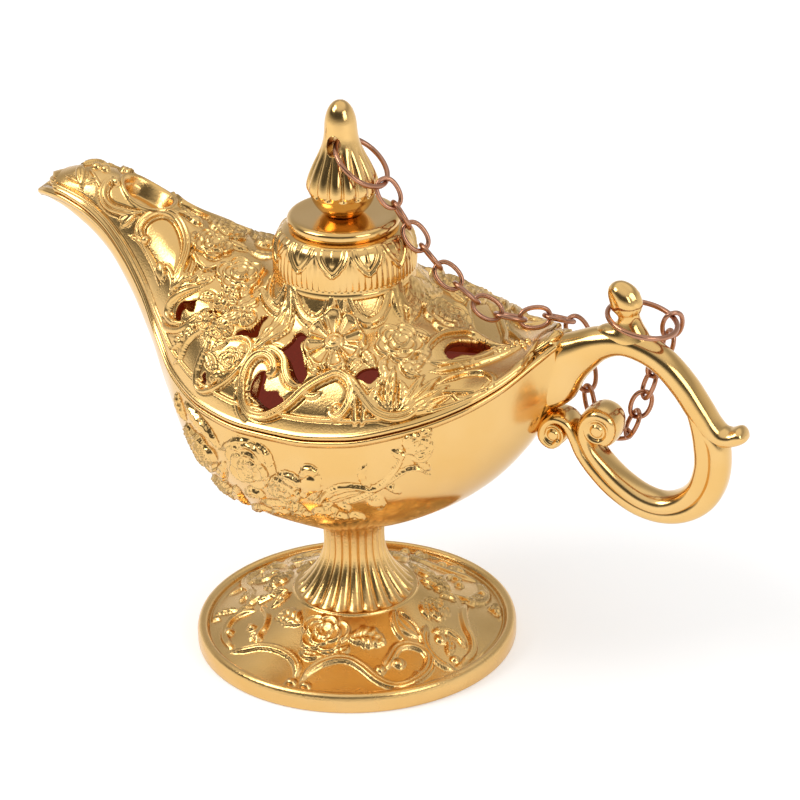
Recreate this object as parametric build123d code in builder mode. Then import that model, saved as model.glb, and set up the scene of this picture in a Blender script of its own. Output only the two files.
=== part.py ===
"""Small brass-plated genie oil lamp: pedestal foot, boat-shaped bowl with a swan-neck spout,
pierced lift-off lid under a domed finial, ring handle, and a fine chain from finial to handle.

Frame: +Z up, spout towards -X, handle towards +X, origin at the middle of the foot's underside.
All lengths are millimetres.
"""
from build123d import *
from math import ceil, cos, pi, radians, sin
import os

os.makedirs("parts", exist_ok=True)

# Driving dimensions of the body
bowl_width = 58.6
spout_reach = 64.0
stern_reach = 44.0
seat_height = 26.6
keel_rise = 0.4
spout_rise = 30.1
stern_rise = 15.2
bowl_depth = 29.8
lid_crown = 19.2
bowl_wall = 1.8
lid_wall = 1.6
rim_gap = 0.3
overrun = 2.0
bowl_hollow_shares = (-0.93, 0.92)
lid_shares = (-0.97, 0.985)
lid_hollow_shares = (-0.85, 0.72)

# Each row: place along the hull, half width, rim rise, keel depth and crown height, as shares
# of the reach, half the bowl width, the spout or stern rise, the bowl depth and the lid crown
hull_shares = (
    (-1.000, 0.075, 0.977, 0.060, 0.090),
    (-0.970, 0.115, 0.993, 0.092, 0.126),
    (-0.922, 0.157, 1.000, 0.131, 0.172),
    (-0.836, 0.205, 0.963, 0.201, 0.297),
    (-0.750, 0.246, 0.870, 0.275, 0.406),
    (-0.672, 0.287, 0.704, 0.386, 0.583),
    (-0.594, 0.362, 0.492, 0.540, 0.792),
    (-0.516, 0.491, 0.266, 0.681, 1.016),
    (-0.422, 0.683, 0.116, 0.829, 1.094),
    (-0.281, 0.874, 0.027, 0.940, 1.089),
    (-0.125, 0.976, 0.000, 0.987, 1.026),
    (0.045, 1.000, 0.000, 1.000, 1.000),
    (0.273, 0.976, 0.066, 0.940, 0.911),
    (0.500, 0.874, 0.224, 0.866, 0.600),
    (0.705, 0.683, 0.421, 0.745, 0.240),
    (0.841, 0.461, 0.618, 0.610, 0.170),
    (0.943, 0.222, 0.855, 0.480, 0.150),
    (0.985, 0.145, 0.963, 0.436, 0.143),
    (1.000, 0.123, 1.000, 0.419, 0.140),
)
# Points of a half section, as shares of its half width and of its height
keel_shares = ((1.0, 0.0), (0.883, 0.482), (0.547, 0.859), (0.0, 1.0))
crown_shares = ((1.0, 0.0), (0.877, 0.420), (0.533, 0.836), (0.0, 1.0))

# Rim band and locating lip
band_proud = 0.5
band_height = 1.4
lip_depth = 2.2
lip_wall = 1.2
lip_gap = 0.3
flange_shares = (0.167, 0.667)
lip_shares = (-0.42, 0.70)

# Seat of the bowl on the stem
seat_radius = 7.4
seat_collar = 1.6
spigot_radius = 3.6
spigot_length = 6.0
spigot_gap = 0.1

# Foot
foot_radius = 31.5
foot_edge = 2.6
foot_bead_height = 3.7
foot_bead_width = 2.2
foot_wall = 1.9
foot_hollow_height = 1.5
foot_dish_share = 0.42
stem_base_radius = 12.1
stem_base_height = 10.6
stem_neck_radius = 5.9
stem_flutes = 22
flute_depth_share = 0.09
stem_hollow_height = 7.5
underside_height = 5.6
# Rise above the stem's base and width beyond its neck, as shares
stem_shares = ((-0.10, 1.0), (0.04, 0.84), (0.16, 0.53), (0.37, 0.20), (0.69, 0.0), (1.0, 0.11))

# Screw that holds the bowl to the foot
screw_diameter = 4.0
screw_hole = 4.4
screw_head_radius = 3.75
screw_head_height = 2.6
screw_thread = 4.6
thread_gap = 0.05
washer_radius = 4.5
washer_height = 0.8
slot_width = 1.0
slot_depth = 1.1

# Neck of the lid, cap, disc and finial, from the bottom up
cap_radius = 13.1
neck_rise = 2.5
neck_radius = 13.3
neck_flare_radius = 15.4
neck_flare_drop = 4.9
neck_root = 2.6
neck_plate = 1.5
neck_bore = 11.4
cap_wall = 1.4
cap_band = 2.4
cap_step = 0.25
cap_shoulder_radius = 12.3
cap_shoulder_height = 6.7
cap_top_radius = 9.9
cap_height = 9.2
disc_radius = 10.6
disc_height = 2.4
disc_round = 0.9
bulb_radius = 6.3
finial_height = 22.8
finial_ribs = 14
rib_depth_share = 0.10
finial_hole = 3.0
finial_hole_height = 14.1
# Height and radius up the finial, as shares of its height and of the bulb's radius
finial_base_shares = ((0.0, 0.54), (0.045, 0.54), (0.055, 0.84), (0.11, 0.86))
finial_bulb_shares = (
    (0.10, 0.86), (0.171, 0.976), (0.241, 1.0), (0.338, 0.952), (0.443, 0.794), (0.54, 0.60),
)
finial_tip_shares = (
    (0.52, 0.60), (0.61, 0.53), (0.69, 0.50), (0.76, 0.468), (0.865, 0.40), (0.96, 0.23), (1.0, 0.0),
)
stud_diameter = 3.0
stud_hole = 3.3
stud_grip = 8.0
stud_tail = 1.0
nut_flats = 5.5
nut_height = 2.4
nut_washer_radius = 3.5
nut_washer_height = 0.5

# Cup on the ridge of the spout
cup_place_share = -0.647
cup_length = 10.0
cup_width = 7.6
cup_depth = 2.4
cup_wall = 1.2
cup_floor = 1.2

# Pierced openings of the lid on one side: place along, place across, length, width and turn.
# Along is a share of the reach, the rest are shares of the bowl's width
pierce_shares = (
    (-0.414, -0.259, 0.102, 0.044, 8),
    (-0.245, -0.295, 0.120, 0.041, 46),
    (-0.078, -0.324, 0.147, 0.061, -58),
    (-0.070, -0.430, 0.094, 0.056, 5),
    (0.314, -0.363, 0.082, 0.041, 30),
    (0.618, -0.109, 0.162, 0.072, 56),
)

# Handle, with its outline as shares of its reach beyond the stern and its height above its foot
handle_reach = 35.0
handle_drop = 32.5
handle_height = 45.5
handle_width = 7.0
top_shares = (
    (0.0, 0.719), (0.10, 0.745), (0.214, 0.782), (0.357, 0.80), (0.486, 0.778), (0.606, 0.732),
    (0.714, 0.631), (0.809, 0.532), (0.886, 0.442), (0.975, 0.408),
)
leaf_shares = ((0.975, 0.408), (1.0, 0.383), (0.97, 0.352))
outer_shares = (
    (0.97, 0.352), (0.905, 0.330), (0.903, 0.222), (0.871, 0.127), (0.789, 0.046), (0.666, 0.007),
    (0.531, 0.013), (0.377, 0.064), (0.254, 0.138), (0.151, 0.235), (0.10, 0.29),
)
inner_shares = (
    (0.24, 0.25), (0.275, 0.20), (0.363, 0.125), (0.466, 0.084), (0.594, 0.075), (0.714, 0.134),
    (0.789, 0.22), (0.811, 0.319), (0.794, 0.413), (0.731, 0.525), (0.634, 0.622), (0.529, 0.684),
    (0.386, 0.703), (0.249, 0.675), (0.10, 0.582), (0.03, 0.50), (0.0, 0.442),
)
small_volute_radius = 2.8
small_volute_share = (0.037, 0.323)
large_volute_radius = 4.0
large_volute_share = (0.24, 0.354)
volute_proud = 0.4
horn_share = (0.371, 0.767)
horn_length = 10.6
horn_radius = 3.2
horn_lean = 8.0
# Height and radius up the horn, as shares of its length and of its widest radius
horn_shares = ((0.0, 0.70), (0.33, 0.62), (0.53, 0.62), (0.70, 1.0), (0.88, 0.78), (1.0, 0.0))

# Velvet lining
lining_gap = 0.3
lining_thickness = 1.0
lining_drop = 6.0
lining_shares = (-0.40, 0.91)
lining_hollow_share = 0.885

# Rings and chain
ring_wire = 1.0
finial_ring_radius = 5.8
finial_ring_slope = 40.0
finial_ring_sag = 0.5
hook_ring_radius = 6.5
hook_ring_slope = 13.0
hook_ring_offset = (15.65, 38.6)
hook_ring_hitch = 50.0
link_wire = 0.9
link_inner_length = 4.9
link_inner_width = 3.0
link_play = 0.05
link_roll = 45.0
link_twist = 2.0
# Route of the chain between the two rings: place along as a share of the stern's reach, place
# across as a share of the bowl's width, and height above the stern as a share of the height
# from there to the finial's hole
chain_shares = (
    (0.308, 0.003, 0.520),
    (0.440, 0.010, 0.299),
    (0.602, 0.031, 0.099),
    (0.741, 0.072, -0.006),
    (0.862, 0.130, -0.004),
    (0.975, 0.194, -0.106),
    (1.007, 0.186, -0.323),
    (1.045, 0.146, -0.534),
    (1.118, 0.121, -0.678),
    (1.228, 0.114, -0.655),
    (1.300, 0.109, -0.429),
    (1.364, 0.109, -0.217),
    (1.423, 0.108, -0.019),
)

# Heights worked out from the values above
rim_low = seat_height + keel_rise + bowl_depth
stern_top = rim_low + stern_rise
cap_base = rim_low + lid_crown + neck_rise
disc_base = cap_base + cap_height
finial_base = disc_base + disc_height
hole_height = finial_base + finial_hole_height
plate_base = cap_base - neck_plate
nut_base = plate_base - nut_washer_height - nut_height
screw_top = seat_height - spigot_length + screw_thread
head_base = underside_height - washer_height - screw_head_height
handle_low = stern_top - handle_drop


def reach(share):
    """Place along the hull for a share of the spout's or the stern's reach."""
    return share * (spout_reach if share < 0 else stern_reach)


def rim_height(share, rise):
    """Height of the rim line for a share of the spout's or the stern's rise."""
    return rim_low + rise * (spout_rise if share < 0 else stern_rise)


def half_section(along, half_width, base, height, shares, skirt):
    """Face across the hull: a curve of these shares over a flat side that stands off by skirt."""
    sign = 1 if height > 0 else -1
    right = [(half_width * y, base + height * z) for y, z in shares]
    left = [(-y, z) for y, z in reversed(right[:-1])]
    flat = base - sign * skirt
    with BuildSketch(Plane.YZ.offset(along)) as face:
        with BuildLine():
            Spline(*right, *left, tangents=((0, sign), (0, -sign)))
            if skirt:
                Polyline(left[-1], (-half_width, flat), (half_width, flat), right[0])
            else:
                Line(left[-1], right[0])
        make_face()
    return face.sketch


def station(place):
    """Row of the hull table for any place along the hull."""
    for low, high in zip(hull_shares, hull_shares[1:]):
        if low[0] <= place <= high[0]:
            part = (place - low[0]) / (high[0] - low[0])
            return tuple(a + part * (b - a) for a, b in zip(low, high))


def stations(span):
    """Rows of the hull table over a span of places, both ends worked out."""
    first, last = span
    return [station(first), *(row for row in hull_shares if first < row[0] < last), station(last)]


def keel_sections(span, inset, skirt):
    """Sections of the lower hull, set in by inset, with the flat side at the rim."""
    faces = []
    for place, width, rise, depth, crown in stations(span):
        half_width = width * bowl_width / 2 - inset
        base = rim_height(place, rise)
        height = inset - bowl_depth * depth
        faces.append(half_section(reach(place), half_width, base, height, keel_shares, skirt))
    return faces


def crown_sections(span, inset, lift, skirt):
    """Sections of the lid's cover, set in by inset, with the flat side lift above the rim."""
    faces = []
    for place, width, rise, depth, crown in stations(span):
        half_width = width * bowl_width / 2 - inset
        base = rim_height(place, rise) + lift
        height = lid_crown * crown - lift - inset
        faces.append(half_section(reach(place), half_width, base, height, crown_shares, skirt))
    return faces


def band_sections(span, margin, low, high):
    """Flat strips across the hull, margin wider than the rim, from low to high about its line."""
    faces = []
    for place, width, rise, depth, crown in stations(span):
        base = rim_height(place, rise)
        middle = base + (low + high) / 2
        with BuildSketch(Plane.YZ.offset(reach(place))) as face:
            with Locations((0, middle)):
                Rectangle(width * bowl_width + 2 * margin, high - low)
        faces.append(face.sketch)
    return faces


def lobed_section(height, radius, lobes, depth_share):
    """Face with rounded ribs round it, two corners to a rib."""
    corners = []
    for index in range(2 * lobes):
        turn = pi * index / lobes
        size = radius * (1 if index % 2 else 1 - depth_share)
        corners.append((size * cos(turn), size * sin(turn)))
    with BuildSketch(Plane.XY.offset(height)) as face:
        Polygon(*corners, align=None)
    return face.sketch


def handle_point(share):
    """Point in the lamp's middle plane for a pair of shares of the handle's reach and height."""
    return (stern_reach + handle_reach * share[0], handle_low + handle_height * share[1])


def finial_points(shares):
    """Points of the finial's outline for rows of height and radius shares."""
    return [(bulb_radius * wide, finial_base + finial_height * high) for high, wide in shares]


def ring_plane(inner, slope, radius):
    """Plane of a ring that hangs from a point of the middle plane and slopes down towards +X."""
    lean = radians(slope)
    down = Vector(cos(lean), 0, -sin(lean))
    return Plane(Vector(*inner) + down * radius, x_dir=down, z_dir=(sin(lean), 0, cos(lean)))


def oval_link(place):
    """One chain link of round wire, its long axis along the plane's x direction."""
    bend = (link_inner_width + link_wire) / 2
    half = (link_inner_length + link_wire) / 2 - bend
    with BuildPart() as link:
        with BuildLine(place) as path:
            Line((-half, bend), (half, bend))
            ThreePointArc((half, bend), (half + bend, 0), (half, -bend))
            Line((half, -bend), (-half, -bend))
            ThreePointArc((-half, -bend), (-half - bend, 0), (-half, bend))
        with BuildSketch(Plane(place.from_local_coords((-half, bend, 0)), z_dir=place.x_dir)):
            Circle(link_wire / 2)
        sweep(path=path.wire())
    return link.part


# Foot: a hollow coned disc with a beaded edge, and a fluted stem that flares into it
with BuildPart() as foot:
    bead_inner = foot_radius - foot_bead_width
    middle_radius = (bead_inner + stem_base_radius) / 2
    middle_height = foot_edge + foot_dish_share * (stem_base_height - foot_edge)
    with BuildSketch(Plane.XZ):
        with BuildLine():
            Polyline((0, stem_base_height), (0, 0), (foot_radius, 0), (foot_radius, foot_edge))
            ThreePointArc(
                (foot_radius, foot_edge),
                (foot_radius - foot_bead_width / 2, foot_bead_height),
                (bead_inner, foot_edge),
            )
            ThreePointArc(
                (bead_inner, foot_edge),
                (middle_radius, middle_height),
                (stem_base_radius, stem_base_height),
            )
            Line((stem_base_radius, stem_base_height), (0, stem_base_height))
        make_face()
    revolve(axis=Axis.Z)
    stem_rise = seat_height - stem_base_height
    stem_flare = stem_base_radius - stem_neck_radius
    stem_faces = []
    for up, out in stem_shares:
        level = stem_base_height + stem_rise * up
        stem_radius = stem_neck_radius + stem_flare * out
        stem_faces.append(lobed_section(level, stem_radius, stem_flutes, flute_depth_share))
    loft(stem_faces, ruled=True)
    with BuildSketch(Plane.XZ):
        with BuildLine():
            Polyline(
                (0, -overrun),
                (bead_inner, -overrun),
                (bead_inner, foot_hollow_height),
                (stem_base_radius, stem_hollow_height),
                (washer_radius + foot_wall, underside_height),
                (0, underside_height),
                (0, -overrun),
            )
        make_face()
    revolve(axis=Axis.Z, mode=Mode.SUBTRACT)
    with Locations((0, 0, seat_height)):
        Hole(spigot_radius + spigot_gap, spigot_length + spigot_gap)
        Hole(screw_hole / 2, seat_height)
foot.part.label = "foot"
export_step(foot.part, "parts/foot.step")

# Bowl: a thin boat-shaped shell with the lower half of the spout, a banded rim,
# and below it a seat and a threaded spigot that enters the stem
with BuildPart() as bowl:
    loft(keel_sections((-1, 1), 0, 0))
    loft(band_sections((-1, 1), band_proud, -band_height, 0))
    with Locations((0, 0, seat_height)):
        Cylinder(seat_radius, seat_collar, align=(Align.CENTER, Align.CENTER, Align.MIN))
    loft(keel_sections(bowl_hollow_shares, bowl_wall, overrun), mode=Mode.SUBTRACT)
    with Locations((0, 0, seat_height + seat_collar)):
        Cylinder(spigot_radius, spigot_length + seat_collar, align=(Align.CENTER, Align.CENTER, Align.MAX))
    with Locations((0, 0, screw_top + thread_gap)):
        Hole(screw_diameter / 2 + thread_gap, screw_thread + overrun)
bowl.part.label = "bowl"
export_step(bowl.part, "parts/bowl.step")

# Locating lip of the lid: a flange inside the rim band and a thin wall that enters the bowl
with BuildPart() as lip:
    lip_margin = -(bowl_wall + lip_gap)
    flange_low, flange_high = (rim_gap + band_height * share for share in flange_shares)
    lip_start, lip_end = lip_shares
    loft(band_sections(lip_shares, lip_margin, -lip_depth, (flange_low + flange_high) / 2))
    loft(band_sections(lip_shares, -lid_wall / 2, flange_low, flange_high))
    lip_span = (lip_start - overrun / spout_reach, lip_end + overrun / stern_reach)
    lip_inner = band_sections(lip_span, lip_margin - lip_wall, -lip_depth - overrun, flange_high + overrun)
    loft(lip_inner, mode=Mode.SUBTRACT)

# Boss of the cup, trimmed to the lid's outside
with BuildPart() as cup_boss:
    cup_place = reach(cup_place_share)
    cup_row = station(cup_place_share)
    cup_base = rim_height(cup_place_share, cup_row[2]) + lid_crown * cup_row[4] - cup_depth
    loft(crown_sections(lid_shares, 0, rim_gap + band_height / 2, 0))
    with BuildSketch(Plane.XY.offset(cup_base - cup_floor)):
        with Locations((cup_place, 0)):
            Ellipse(cup_length / 2 + cup_wall, cup_width / 2 + cup_wall)
    extrude(amount=cup_length, mode=Mode.INTERSECT)

# Lid: a crowned cover with the upper half of the spout, a rim band, a flared neck that seats
# the cap, a cup on the spout's ridge, and pierced openings
with BuildPart() as lid:
    loft(crown_sections(lid_shares, 0, rim_gap + band_height / 2, 0))
    loft(band_sections(lid_shares, band_proud, rim_gap, rim_gap + band_height))
    loft(crown_sections(lid_hollow_shares, lid_wall, rim_gap, overrun), mode=Mode.SUBTRACT)
    for along, across, long, wide, turn in pierce_shares:
        for side in (1, -1):
            with BuildSketch(Plane.XY.offset(rim_low + lip_depth)):
                pierce_spot = (reach(along), side * across * bowl_width, 0)
                with Locations(Location(pierce_spot, (0, 0, side * turn))):
                    Ellipse(long * bowl_width / 2, wide * bowl_width / 2)
            extrude(amount=spout_rise, mode=Mode.SUBTRACT)
    with BuildSketch(Plane.XZ):
        with BuildLine():
            flare_height = cap_base - neck_flare_drop
            Polyline(
                (neck_flare_radius, flare_height),
                (neck_flare_radius, flare_height - neck_root),
                (neck_bore, flare_height - neck_root),
                (neck_bore, cap_base),
                (neck_radius, cap_base),
            )
            RadiusArc((neck_radius, cap_base), (neck_flare_radius, flare_height), -neck_flare_drop * 2)
        make_face()
    revolve(axis=Axis.Z)
    with Locations((0, 0, plate_base)):
        Cylinder(neck_bore, lid_crown, align=(Align.CENTER, Align.CENTER, Align.MAX), mode=Mode.SUBTRACT)
        Cylinder(neck_bore + band_proud, neck_plate, align=(Align.CENTER, Align.CENTER, Align.MIN))
    with Locations((0, 0, cap_base)):
        Hole(stud_hole / 2, neck_plate + overrun)
        Cylinder(
            neck_flare_radius,
            neck_flare_drop,
            align=(Align.CENTER, Align.CENTER, Align.MIN),
            mode=Mode.SUBTRACT,
        )
    add(lip.part)
    add(cup_boss.part)
    with BuildSketch(Plane.XY.offset(cup_base)):
        with Locations((cup_place, 0)):
            Ellipse(cup_length / 2, cup_width / 2)
    extrude(amount=cup_length, mode=Mode.SUBTRACT)
lid.part.label = "lid"
export_step(lid.part, "parts/lid.step")

# Cap: a thin dome with a plain band at its foot
with BuildPart() as dome_cap:
    with BuildSketch(Plane.XZ):
        with BuildLine():
            cap_inner = cap_radius - cap_wall
            shoulder = cap_base + cap_shoulder_height
            Polyline(
                (cap_inner, cap_base),
                (cap_radius, cap_base),
                (cap_radius, cap_base + cap_band),
                (cap_radius - cap_step, cap_base + cap_band),
            )
            ThreePointArc(
                (cap_radius - cap_step, cap_base + cap_band),
                (cap_shoulder_radius, shoulder),
                (cap_top_radius, disc_base),
            )
            Polyline(
                (cap_top_radius, disc_base),
                (stud_hole / 2, disc_base),
                (stud_hole / 2, disc_base - cap_wall),
                (cap_top_radius - cap_wall / 2, disc_base - cap_wall),
            )
            ThreePointArc(
                (cap_top_radius - cap_wall / 2, disc_base - cap_wall),
                (cap_shoulder_radius - cap_wall, shoulder - cap_wall / 2),
                (cap_inner, cap_base + cap_band),
            )
            Line((cap_inner, cap_base + cap_band), (cap_inner, cap_base))
        make_face()
    revolve(axis=Axis.Z)
dome_cap.part.label = "dome_cap"
export_step(dome_cap.part, "parts/dome_cap.step")

# Disc with a rounded edge, between the cap and the finial
with BuildPart() as cap_disc:
    with Locations((0, 0, disc_base)):
        Cylinder(disc_radius, disc_height, align=(Align.CENTER, Align.CENTER, Align.MIN))
    fillet(cap_disc.edges().filter_by(GeomType.CIRCLE), radius=disc_round)
    with Locations((0, 0, finial_base)):
        Hole(stud_hole / 2, disc_height)
cap_disc.part.label = "cap_disc"
export_step(cap_disc.part, "parts/cap_disc.step")

# Finial: a waisted base, a ribbed bulb and a smooth pointed tip with a cross hole for the ring
with BuildPart() as finial:
    with BuildSketch(Plane.XZ):
        with BuildLine():
            base_points = finial_points(finial_base_shares)
            Polyline((0, finial_base), *base_points, (0, base_points[-1][1]), (0, finial_base))
        make_face()
    revolve(axis=Axis.Z)
    loft(
        [lobed_section(z, r, finial_ribs, rib_depth_share) for r, z in finial_points(finial_bulb_shares)],
        ruled=True,
    )
    with BuildSketch(Plane.XZ):
        with BuildLine():
            tip_points = finial_points(finial_tip_shares)
            Spline(*tip_points, tangents=((-finial_tip_shares[0][0], 1), (-1, 0)))
            Polyline(tip_points[-1], (0, tip_points[0][1]), tip_points[0])
        make_face()
    revolve(axis=Axis.Z)
    with Locations(Location((0, 0, hole_height), (90, 0, 0))):
        Cylinder(finial_hole / 2, 2 * bulb_radius, mode=Mode.SUBTRACT)
    with Locations((0, 0, finial_base + stud_grip + thread_gap)):
        Hole(stud_diameter / 2 + thread_gap, stud_grip + overrun)
finial.part.label = "finial"
export_step(finial.part, "parts/finial.step")

# Stud, nut and washer that clamp the finial, disc and cap to the lid's neck
with BuildPart() as finial_stud:
    with Locations((0, 0, nut_base - stud_tail)):
        Cylinder(
            stud_diameter / 2,
            finial_base + stud_grip - nut_base + stud_tail,
            align=(Align.CENTER, Align.CENTER, Align.MIN),
        )
    chamfer(finial_stud.edges().filter_by(GeomType.CIRCLE), length=stud_tail / 3)
finial_stud.part.label = "finial_stud"
export_step(finial_stud.part, "parts/finial_stud.step")

with BuildPart() as finial_nut:
    with BuildSketch(Plane.XY.offset(nut_base)):
        RegularPolygon(nut_flats / 2, 6, major_radius=False)
        Circle(stud_diameter / 2 + thread_gap, mode=Mode.SUBTRACT)
    extrude(amount=nut_height)
finial_nut.part.label = "finial_nut"
export_step(finial_nut.part, "parts/finial_nut.step")

with BuildPart() as finial_washer:
    with BuildSketch(Plane.XY.offset(nut_base + nut_height)):
        Circle(nut_washer_radius)
        Circle(stud_hole / 2, mode=Mode.SUBTRACT)
    extrude(amount=nut_washer_height)
finial_washer.part.label = "finial_washer"
export_step(finial_washer.part, "parts/finial_washer.step")

# Screw and washer that pull the bowl down onto the stem
with BuildPart() as foot_screw:
    with Locations((0, 0, head_base)):
        Cylinder(screw_head_radius, screw_head_height, align=(Align.CENTER, Align.CENTER, Align.MIN))
        Cylinder(screw_diameter / 2, screw_top - head_base, align=(Align.CENTER, Align.CENTER, Align.MIN))
        Box(
            2 * screw_head_radius,
            slot_width,
            slot_depth,
            align=(Align.CENTER, Align.CENTER, Align.MIN),
            mode=Mode.SUBTRACT,
        )
foot_screw.part.label = "foot_screw"
export_step(foot_screw.part, "parts/foot_screw.step")

with BuildPart() as foot_washer:
    with BuildSketch(Plane.XY.offset(head_base + screw_head_height)):
        Circle(washer_radius)
        Circle(screw_hole / 2, mode=Mode.SUBTRACT)
    extrude(amount=washer_height)
foot_washer.part.label = "foot_washer"
export_step(foot_washer.part, "parts/foot_washer.step")

# Handle: a strap that leaves the stern, loops into a finger ring and ends in two volutes,
# with a leaf tip on its back and a horn on its crown for the ring
with BuildPart() as handle:
    with BuildSketch(Plane.XZ):
        with BuildLine():
            Spline(*(handle_point(share) for share in top_shares))
            ThreePointArc(*(handle_point(share) for share in leaf_shares))
            Spline(*(handle_point(share) for share in outer_shares))
            fork = (outer_shares[-1], small_volute_share, large_volute_share, inner_shares[0])
            Polyline(*(handle_point(share) for share in fork))
            Spline(*(handle_point(share) for share in inner_shares))
            Line(handle_point(inner_shares[-1]), handle_point(top_shares[0]))
        make_face()
    extrude(amount=handle_width / 2, both=True)
    volute_shares = (small_volute_share, large_volute_share)
    for share, size in zip(volute_shares, (small_volute_radius, large_volute_radius)):
        with BuildSketch(Plane.XZ):
            with Locations(handle_point(share)):
                Circle(size)
        extrude(amount=handle_width / 2 + volute_proud, both=True)
    horn_x, horn_z = handle_point(horn_share)
    horn_tilt = radians(horn_lean)
    horn_plane = Plane((horn_x, 0, horn_z), x_dir=(cos(horn_tilt), 0, sin(horn_tilt)), z_dir=(0, -1, 0))
    with BuildSketch(horn_plane):
        with BuildLine():
            horn_points = [(horn_radius * wide, horn_length * high) for high, wide in horn_shares]
            Spline(*horn_points, tangents=((0, 1), (-1, 0)))
            Polyline(horn_points[-1], (0, 0), horn_points[0])
        make_face()
    revolve(axis=Axis((horn_x, 0, horn_z), horn_plane.y_dir))
handle.part.label = "handle"
export_step(handle.part, "parts/handle.step")

# Velvet lining: a thin cup that follows the inside of the bowl
with BuildPart() as velvet_lining:
    lining_inset = bowl_wall + lining_gap
    lining_start, lining_end = lining_shares
    hollow_start = bowl_hollow_shares[0]
    loft(keel_sections((hollow_start, lining_end), lining_inset, 0))
    loft(
        keel_sections((hollow_start, lining_hollow_share), lining_inset + lining_thickness, overrun),
        mode=Mode.SUBTRACT,
    )
    loft(band_sections((lining_start, 1), 0, -bowl_depth, -lining_drop), mode=Mode.INTERSECT)
velvet_lining.part.label = "velvet_lining"
export_step(velvet_lining.part, "parts/velvet_lining.step")

# Rings
finial_ring_drop = finial_ring_radius - finial_ring_sag
finial_ring_plane = ring_plane((0, 0, hole_height), finial_ring_slope, finial_ring_drop)
with BuildPart() as finial_ring:
    with Locations(finial_ring_plane):
        Torus(finial_ring_radius, ring_wire / 2)
finial_ring.part.label = "finial_ring"
export_step(finial_ring.part, "parts/finial_ring.step")

hook_centre = (stern_reach + hook_ring_offset[0], 0, handle_low + hook_ring_offset[1])
hook_ring_plane = ring_plane(hook_centre, hook_ring_slope, 0)
with BuildPart() as hook_ring:
    with Locations(hook_ring_plane):
        Torus(hook_ring_radius, ring_wire / 2)
hook_ring.part.label = "hook_ring"
export_step(hook_ring.part, "parts/hook_ring.step")

# Chain: oval links of round wire between joints along the route, each turned a right angle
# from the one before
hitch = radians(hook_ring_hitch)
hitch_spot = (hook_ring_radius * cos(hitch), hook_ring_radius * sin(hitch), 0)
first_hold = finial_ring_plane.from_local_coords((finial_ring_radius, 0, 0))
last_hold = hook_ring_plane.from_local_coords(hitch_spot)
chain_rise = hole_height - stern_top
route_points = [
    Vector(x * stern_reach, y * bowl_width, stern_top + z * chain_rise) for x, y, z in chain_shares
]
route = Edge.make_spline([first_hold, *route_points, last_hold])
hold_run = (link_inner_length - ring_wire) / 2 - link_play
free_run = route.length - 2 * hold_run
link_count = ceil(free_run / (link_inner_length - link_play)) + 1
pitch = free_run / (link_count - 1)
joints = [first_hold]
for index in range(link_count - 1):
    joints.append(route.position_at(hold_run + (index + 0.5) * pitch, position_mode=PositionMode.LENGTH))
joints.append(last_hold)
side = Vector(0, 1, 0)
for index, (start, end) in enumerate(zip(joints, joints[1:])):
    along = (end - start).normalized()
    side = (side - along * side.dot(along)).normalized().rotate(Axis((0, 0, 0), tuple(along)), link_twist)
    if index == 0:
        middle = start + along * hold_run
    elif index == link_count - 1:
        middle = end - along * hold_run
    else:
        middle = (start + end) / 2
    roll = link_roll if index % 2 else -link_roll
    face_way = side.rotate(Axis((0, 0, 0), tuple(along)), roll)
    chain_link = oval_link(Plane(middle, x_dir=along, z_dir=face_way))
    chain_link.label = f"chain_link_{index + 1:02d}"
    export_step(chain_link, f"parts/{chain_link.label}.step")
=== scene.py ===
import math

import bmesh
import bpy
import numpy as np
from mathutils import Matrix, Vector
from mathutils.kdtree import KDTree


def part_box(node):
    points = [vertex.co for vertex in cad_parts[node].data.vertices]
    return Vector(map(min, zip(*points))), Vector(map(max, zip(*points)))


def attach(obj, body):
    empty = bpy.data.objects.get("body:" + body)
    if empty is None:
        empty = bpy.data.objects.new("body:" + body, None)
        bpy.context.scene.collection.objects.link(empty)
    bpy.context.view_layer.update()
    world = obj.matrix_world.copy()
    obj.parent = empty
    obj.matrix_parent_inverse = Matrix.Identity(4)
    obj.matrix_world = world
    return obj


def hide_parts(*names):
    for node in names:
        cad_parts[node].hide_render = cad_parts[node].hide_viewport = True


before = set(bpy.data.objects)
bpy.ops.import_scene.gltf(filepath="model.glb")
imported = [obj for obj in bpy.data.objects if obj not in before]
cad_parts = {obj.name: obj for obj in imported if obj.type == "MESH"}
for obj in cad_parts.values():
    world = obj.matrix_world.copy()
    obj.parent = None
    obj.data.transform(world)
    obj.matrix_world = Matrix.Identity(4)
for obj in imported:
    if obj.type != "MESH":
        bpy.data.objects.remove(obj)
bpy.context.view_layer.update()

MM = 0.001


# Camera: place and turn fitted to the outlines of the foot and the rim

# Focal length and frame in pixels, sensor in mm, angles in degrees
FOCAL_PX = 3500.0
FRAME_PX = 800.0
HALF_PX = FRAME_PX / 2
SENSOR = 36.0
PITCH, YAW, ROLL = 26.18, 25.0, -1.5
# Pixel at which the origin is seen, its distance in mm, and the camera's clipping in metres
FOOT_PX = (357.4, 631.1)
DISTANCE = 694.8
NEAREST, FARTHEST = 0.01, 20

yaw, pitch, roll = math.radians(YAW), math.radians(PITCH), math.radians(ROLL)
level_right = np.array((math.cos(yaw), math.sin(yaw), 0))
back = np.array((math.sin(yaw) * math.cos(pitch), -math.cos(yaw) * math.cos(pitch), math.sin(pitch)))
level_up = np.cross(back, level_right)
right = level_right * math.cos(roll) + level_up * math.sin(roll)
up = -level_right * math.sin(roll) + level_up * math.cos(roll)


def sight_line(u, v):
    """Direction in which the camera sees a pixel."""
    return right * (u - HALF_PX) / FOCAL_PX - up * (v - HALF_PX) / FOCAL_PX - back


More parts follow.
